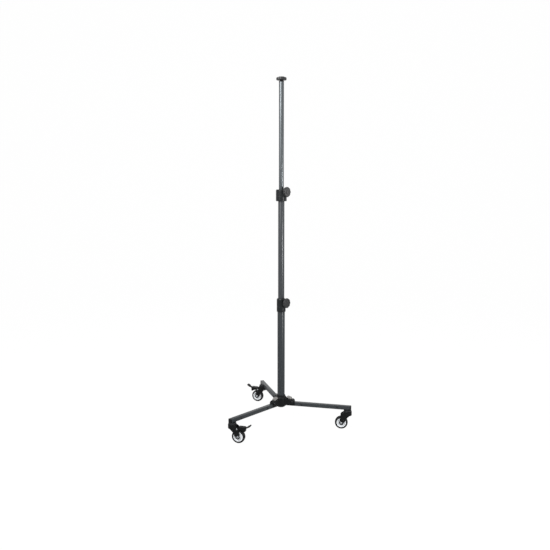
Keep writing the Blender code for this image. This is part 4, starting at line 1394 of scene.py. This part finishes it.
def tube_screw_shape(place, sides):
    """A set screw about Z, chamfered at both ends, with a hexagon socket in the outer one."""
    low, high = span("tube_screw", place)
    radius = 3.0 * MM
    core = 0.3 * MM
    profile = [
        (core, low.z),
        (2.4 * MM, low.z),
        (radius, low.z + 0.6 * MM),
        (radius, high.z - 0.5 * MM),
        (2.5 * MM, high.z),
        (core, high.z),
    ]
    key_radius = 1.7 * MM
    key = rod(key_radius, high.z - 2.5 * MM, high.z + 1.0 * MM, sides=6)
    return carved(revolved(profile, sides), [("DIFFERENCE", key)])


class STAND_OT_turned_pieces(bpy.types.Operator):
    """Turn the caster bases, the top plug and the tube screw"""

    bl_idname = "light_stand.turned_pieces"
    bl_label = "Turned Pieces"

    def execute(self, context):
        sizes = context.scene.stand_sizes
        profile = caster_base_profile()
        for side in SIDES:
            base = revolved(profile, sizes.round_sides)
            fitted(f"{side}_caster_base", base, SWIVEL[side], "black_steel")
        fitted("top_plug", top_plug_shape(sizes), MAST, "black_plastic")
        place = screw_frame()
        fitted("tube_screw", tube_screw_shape(place, sizes.round_sides), place, "black_steel")
        return {"FINISHED"}


def end_cap_rings(sizes):
    """Square sections along an end cap, from the spigot in the leg out to its rounded face."""
    low, high = span("right_end_cap", LEG["right"])
    seat = LEG_HIGH.x + CLEARANCE
    spigot = LEG_HALF - sizes.tube_wall - CLEARANCE
    edge = 2.2 * MM
    stations = [
        (low.x, spigot - 0.6 * MM),
        (low.x + 0.8 * MM, spigot),
        (seat, spigot),
        (seat, LEG_HALF - 0.3 * MM),
        (seat + 0.3 * MM, LEG_HALF),
    ]
    stations += arc((high.x - edge, LEG_HALF - edge), edge, 90, 0, 8)
    stations += [(high.x, LEG_HALF - 5.0 * MM)]
    rings = []
    for x, half in stations:
        corners = [(half, half), (-half, half), (-half, -half), (half, -half)]
        line = filleted([(y, z, min(sizes.leg_corner, 0.45 * half)) for y, z in corners], steps=8)
        rings.append([(x, y, LEG_AXIS + z) for y, z in line])
    return rings


class STAND_OT_end_caps(bpy.types.Operator):
    """Mould the caps in the legs' outer ends"""

    bl_idname = "light_stand.end_caps"
    bl_label = "End Caps"

    def execute(self, context):
        rings = end_cap_rings(context.scene.stand_sizes)
        for side in SIDES:
            fitted(f"{side}_end_cap", skinned(rings), LEG[side], "black_plastic")
        return {"FINISHED"}


def bolt_sizes(name, matrix):
    """A through bolt's middle in the stand's frame, and the sizes of its heads and shank."""
    low, high = span(name, matrix)
    middle = (low + high) / 2.0
    rings = []
    for point in local_points(name, matrix):
        away = point - middle
        rings.append((away.xz.length, abs(away.y)))
    head = max(radius for radius, depth in rings)
    seat = min(depth for radius, depth in rings if radius > 0.9 * head)
    values = {
        "Head Radius": head,
        "Head Height": high.y - middle.y - seat,
        "Seat": seat,
        "Shank Radius": min(radius for radius, depth in rings),
    }
    return matrix @ middle, values


class STAND_OT_bolts(bpy.types.Operator):
    """Set the pivot bolts, cross bolts, lock pins, axles and brake pins"""

    bl_idname = "light_stand.bolts"
    bl_label = "Bolts and Pins"

    def execute(self, context):
        sizes = context.scene.stand_sizes
        tree = bolt_tree()
        sets = [
            ("pivot_bolts", {f"{side}_pivot_bolt": LEG[side] for side in SIDES}, "black_steel", True),
            ("lock_pins", {f"{side}_lock_pin": LEG[side] for side in SIDES}, "black_steel", False),
        ]
        for side in SIDES:
            crossing = {f"{side}_{place}_bolt": LEG[side] for place in ("inner", "outer")}
            sets.append((f"{side}_cross_bolts", crossing, "black_steel", True))
            sets.append((f"{side}_axle", {f"{side}_axle": SWIVEL[side]}, "bright_steel", False))
        for side in BRAKED:
            sets.append((f"{side}_brake_pin", {f"{side}_brake_pin": SWIVEL[side]}, "bright_steel", False))
        for label, nodes, slot, has_socket in sets:
            points = bmesh.new()
            facing = points.verts.layers.float_vector.new("facing")
            for name, matrix in nodes.items():
                middle, values = bolt_sizes(name, matrix)
                points.verts.new(middle)[facing] = matrix.to_3x3() @ Vector((0.0, 1.0, 0.0))
            values["Sides"] = sizes.round_sides // 2
            values["Has Socket"] = has_socket
            values["Finish"] = finish_of(slot)
            body = body_of(next(iter(nodes)))
            finished(f"{label}_finished", grown(tree, values, points), Matrix(), body, slot, list(nodes))
        return {"FINISHED"}


class STAND_OT_coatings(bpy.types.Operator):
    """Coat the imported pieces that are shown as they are"""

    bl_idname = "light_stand.coatings"
    bl_label = "Plain Pieces"

    def execute(self, context):
        slots = {part["node"]: part["material_slot"] for part in frame["record"]["subparts"]}
        for name, obj in frame["nodes"].items():
            obj.data.materials.clear()
            obj.data.materials.append(finish_of(slots[name]))
        return {"FINISHED"}


def plain_white(name, shadow):
    """White for the camera and for reflections, with a share of the shadows that fall on it."""
    material = bpy.data.materials.new(name)
    material.use_nodes = True
    tree = material.node_tree
    tree.nodes.clear()
    path = add_node(tree, "ShaderNodeLightPath")
    paint = add_node(tree, "ShaderNodeBsdfDiffuse", {"Color": (0.86, 0.86, 0.86, 1.0)})
    place = add_node(tree, "ShaderNodeNewGeometry").outputs["Position"]
    height = add_node(tree, "ShaderNodeSeparateXYZ", {"Vector": place}).outputs["Z"]
    # A touch over white for the camera, which makes up for the paint's share, and dimmer low down in
    # reflections
    camera_level = 1.03
    low_level = 0.6
    mirrored = add_node(
        tree, "ShaderNodeMapRange", {"Value": height, "From Max": 1.0, "To Min": low_level, "To Max": 1.0}
    )
    brightness = add_node(
        tree,
        "ShaderNodeMapRange",
        {
            "Value": path.outputs["Is Glossy Ray"],
            "To Min": camera_level,
            "To Max": mirrored.outputs["Result"],
        },
    )
    glow = add_node(
        tree, "ShaderNodeEmission", {"Color": WHITE, "Strength": brightness.outputs["Result"]}
    )
    seen = add_node(
        tree,
        "ShaderNodeMath",
        {0: path.outputs["Is Camera Ray"], 1: path.outputs["Is Glossy Ray"]},
        operation="MAXIMUM",
    )
    share = add_node(tree, "ShaderNodeMath", {0: seen.outputs[0], 1: 1.0 - shadow}, operation="MULTIPLY")
    mixed = add_node(
        tree, "ShaderNodeMixShader", {0: share.outputs[0], 1: paint.outputs[0], 2: glow.outputs[0]}
    )
    add_node(tree, "ShaderNodeOutputMaterial", {"Surface": mixed.outputs[0]})
    return material


def studio_floor():
    """A pale floor that curves up into a backdrop, far wider than the view."""
    width = 12.0
    front = -8.0
    back = 4.0
    bend = 2.0
    top = 9.0
    profile = [(front, 0.0), (back, 0.0)]
    profile += [(back + x, bend + z) for x, z in arc((0.0, 0.0), bend, -90, 0, 12)[1:]]
    profile.append((back + bend, top))
    rows = [[(x, y, z) for x in (-width, width)] for y, z in profile]
    mesh = bmesh.new()
    layers = [[mesh.verts.new(point) for point in row] for row in rows]
    for first, second in zip(layers, layers[1:]):
        mesh.faces.new((first[0], first[1], second[1], second[0]))
    floor = loose_object(mesh, "studio_floor")
    floor.data.materials.append(plain_white("white_paper", shadow=0.06))
    floor.data.shade_smooth()


def soft_lamp(name, place, target, size, power):
    """An area light of a width and a height, aimed at a point."""
    data = bpy.data.lights.new(name, "AREA")
    data.shape = "RECTANGLE"
    data.size, data.size_y = size
    data.energy = power
    lamp = bpy.data.objects.new(name, data)
    lamp.location = place
    lamp.rotation_euler = (Vector(target) - Vector(place)).to_track_quat("-Z", "Y").to_euler()
    bpy.context.scene.collection.objects.link(lamp)


def white_room(room_light):
    """A world that is white to the camera and in reflections, and lights the stand by a share."""
    world = bpy.data.worlds.new("white_room")
    world.use_nodes = True
    tree = world.node_tree
    tree.nodes.clear()
    path = add_node(tree, "ShaderNodeLightPath")
    mirrored = add_node(
        tree,
        "ShaderNodeMapRange",
        {"Value": path.outputs["Is Glossy Ray"], "To Min": room_light, "To Max": 1.0},
    )
    strength = add_node(
        tree,
        "ShaderNodeMapRange",
        {"Value": path.outputs["Is Camera Ray"], "To Min": mirrored.outputs["Result"], "To Max": 1.0},
    )
    sky = add_node(
        tree, "ShaderNodeBackground", {"Color": WHITE, "Strength": strength.outputs["Result"]}
    )
    add_node(tree, "ShaderNodeOutputWorld", {"Surface": sky.outputs[0]})
    return world


def photo_camera(stage):
    """A camera where the photo's stood, looking level along +Y but for its tilt."""
    lens = bpy.data.cameras.new("photo_camera")
    lens.sensor_width = 36.0
    lens.lens = stage.camera_lens
    lens.clip_end = 50.0
    camera = bpy.data.objects.new("photo_camera", lens)
    middle = MAST.translation
    camera.location = (middle.x - stage.camera_left, middle.y - stage.camera_back, stage.camera_height)
    camera.rotation_euler = (math.radians(90.0) - stage.camera_tilt, 0.0, 0.0)
    return camera


class STAND_OT_stage(bpy.types.Operator):
    """Set the floor, the soft lights, the world and the camera"""

    bl_idname = "light_stand.stage"
    bl_label = "Stage"

    def execute(self, context):
        scene = context.scene
        studio_floor()
        # Each lamp's place, the point it aims at, its width and height in metres, and its watts
        soft_lamp("left_softbox", (-1.5, -2.0, 2.6), (0.0, 0.0, 1.7), (1.5, 1.1), 56.0)
        soft_lamp("left_fill", (-1.6, -1.9, 1.6), (0.0, 0.0, 1.3), (1.2, 0.8), 9.0)
        soft_lamp("right_strip", (1.75, -1.8, 0.72), (0.0, 0.0, 0.72), (0.25, 0.8), 27.0)
        soft_lamp("right_side", (2.5, 0.6, 1.2), (0.0, 0.0, 0.9), (0.8, 1.2), 3.0)
        soft_lamp("top_light", (-0.4, -0.6, 3.6), (0.0, 0.0, 0.5), (1.6, 1.6), 24.0)
        scene.world = white_room(scene.stand_stage.room_light)
        camera = photo_camera(scene.stand_stage)
        scene.collection.objects.link(camera)
        scene.camera = camera
        scene.view_settings.view_transform = "Standard"
        return {"FINISHED"}


OPERATORS = (
    STAND_OT_stage,
    STAND_OT_coatings,
    STAND_OT_mast_tubes,
    STAND_OT_leg_tubes,
    STAND_OT_hub,
    STAND_OT_knuckles,
    STAND_OT_levers,
    STAND_OT_collars,
    STAND_OT_knobs,
    STAND_OT_forks,
    STAND_OT_pedals,
    STAND_OT_wheels,
    STAND_OT_turned_pieces,
    STAND_OT_end_caps,
    STAND_OT_bolts,
)


class STAND_PT_panel(bpy.types.Panel):
    """Lists the stand's pieces and its stage"""

    bl_idname = "STAND_PT_panel"
    bl_label = "Light Stand"
    bl_space_type = "VIEW_3D"
    bl_region_type = "UI"
    bl_category = "Light Stand"

    def draw(self, context):
        for operator in OPERATORS:
            self.layout.operator(operator.bl_idname)
        for group in (context.scene.stand_sizes, context.scene.stand_colours, context.scene.stand_stage):
            box = self.layout.box()
            for name in group.bl_rna.properties.keys():
                if name not in ("rna_type", "name"):
                    box.prop(group, name)


CLASSES = (StandSizes, StandColours, StageSettings, *OPERATORS, STAND_PT_panel)


def register():
    """Register the classes and hang the settings on the scene."""
    for item in CLASSES:
        bpy.utils.register_class(item)
    bpy.types.Scene.stand_sizes = bpy.props.PointerProperty(type=StandSizes)
    bpy.types.Scene.stand_colours = bpy.props.PointerProperty(type=StandColours)
    bpy.types.Scene.stand_stage = bpy.props.PointerProperty(type=StageSettings)


def unregister():
    """Take the settings and the classes away again."""
    del bpy.types.Scene.stand_stage
    del bpy.types.Scene.stand_colours
    del bpy.types.Scene.stand_sizes
    for item in reversed(CLASSES):
        bpy.utils.unregister_class(item)


def main():
    """Dress the whole stand."""
    register()
    bpy.ops.light_stand.stage()
    bpy.ops.light_stand.coatings()
    bpy.ops.light_stand.mast_tubes()
    bpy.ops.light_stand.leg_tubes()
    bpy.ops.light_stand.hub()
    bpy.ops.light_stand.knuckles()
    bpy.ops.light_stand.levers()
    bpy.ops.light_stand.collars()
    bpy.ops.light_stand.knobs()
    bpy.ops.light_stand.forks()
    bpy.ops.light_stand.pedals()
    bpy.ops.light_stand.wheels()
    bpy.ops.light_stand.turned_pieces()
    bpy.ops.light_stand.end_caps()
    bpy.ops.light_stand.bolts()


if __name__ == "__main__":
    main()
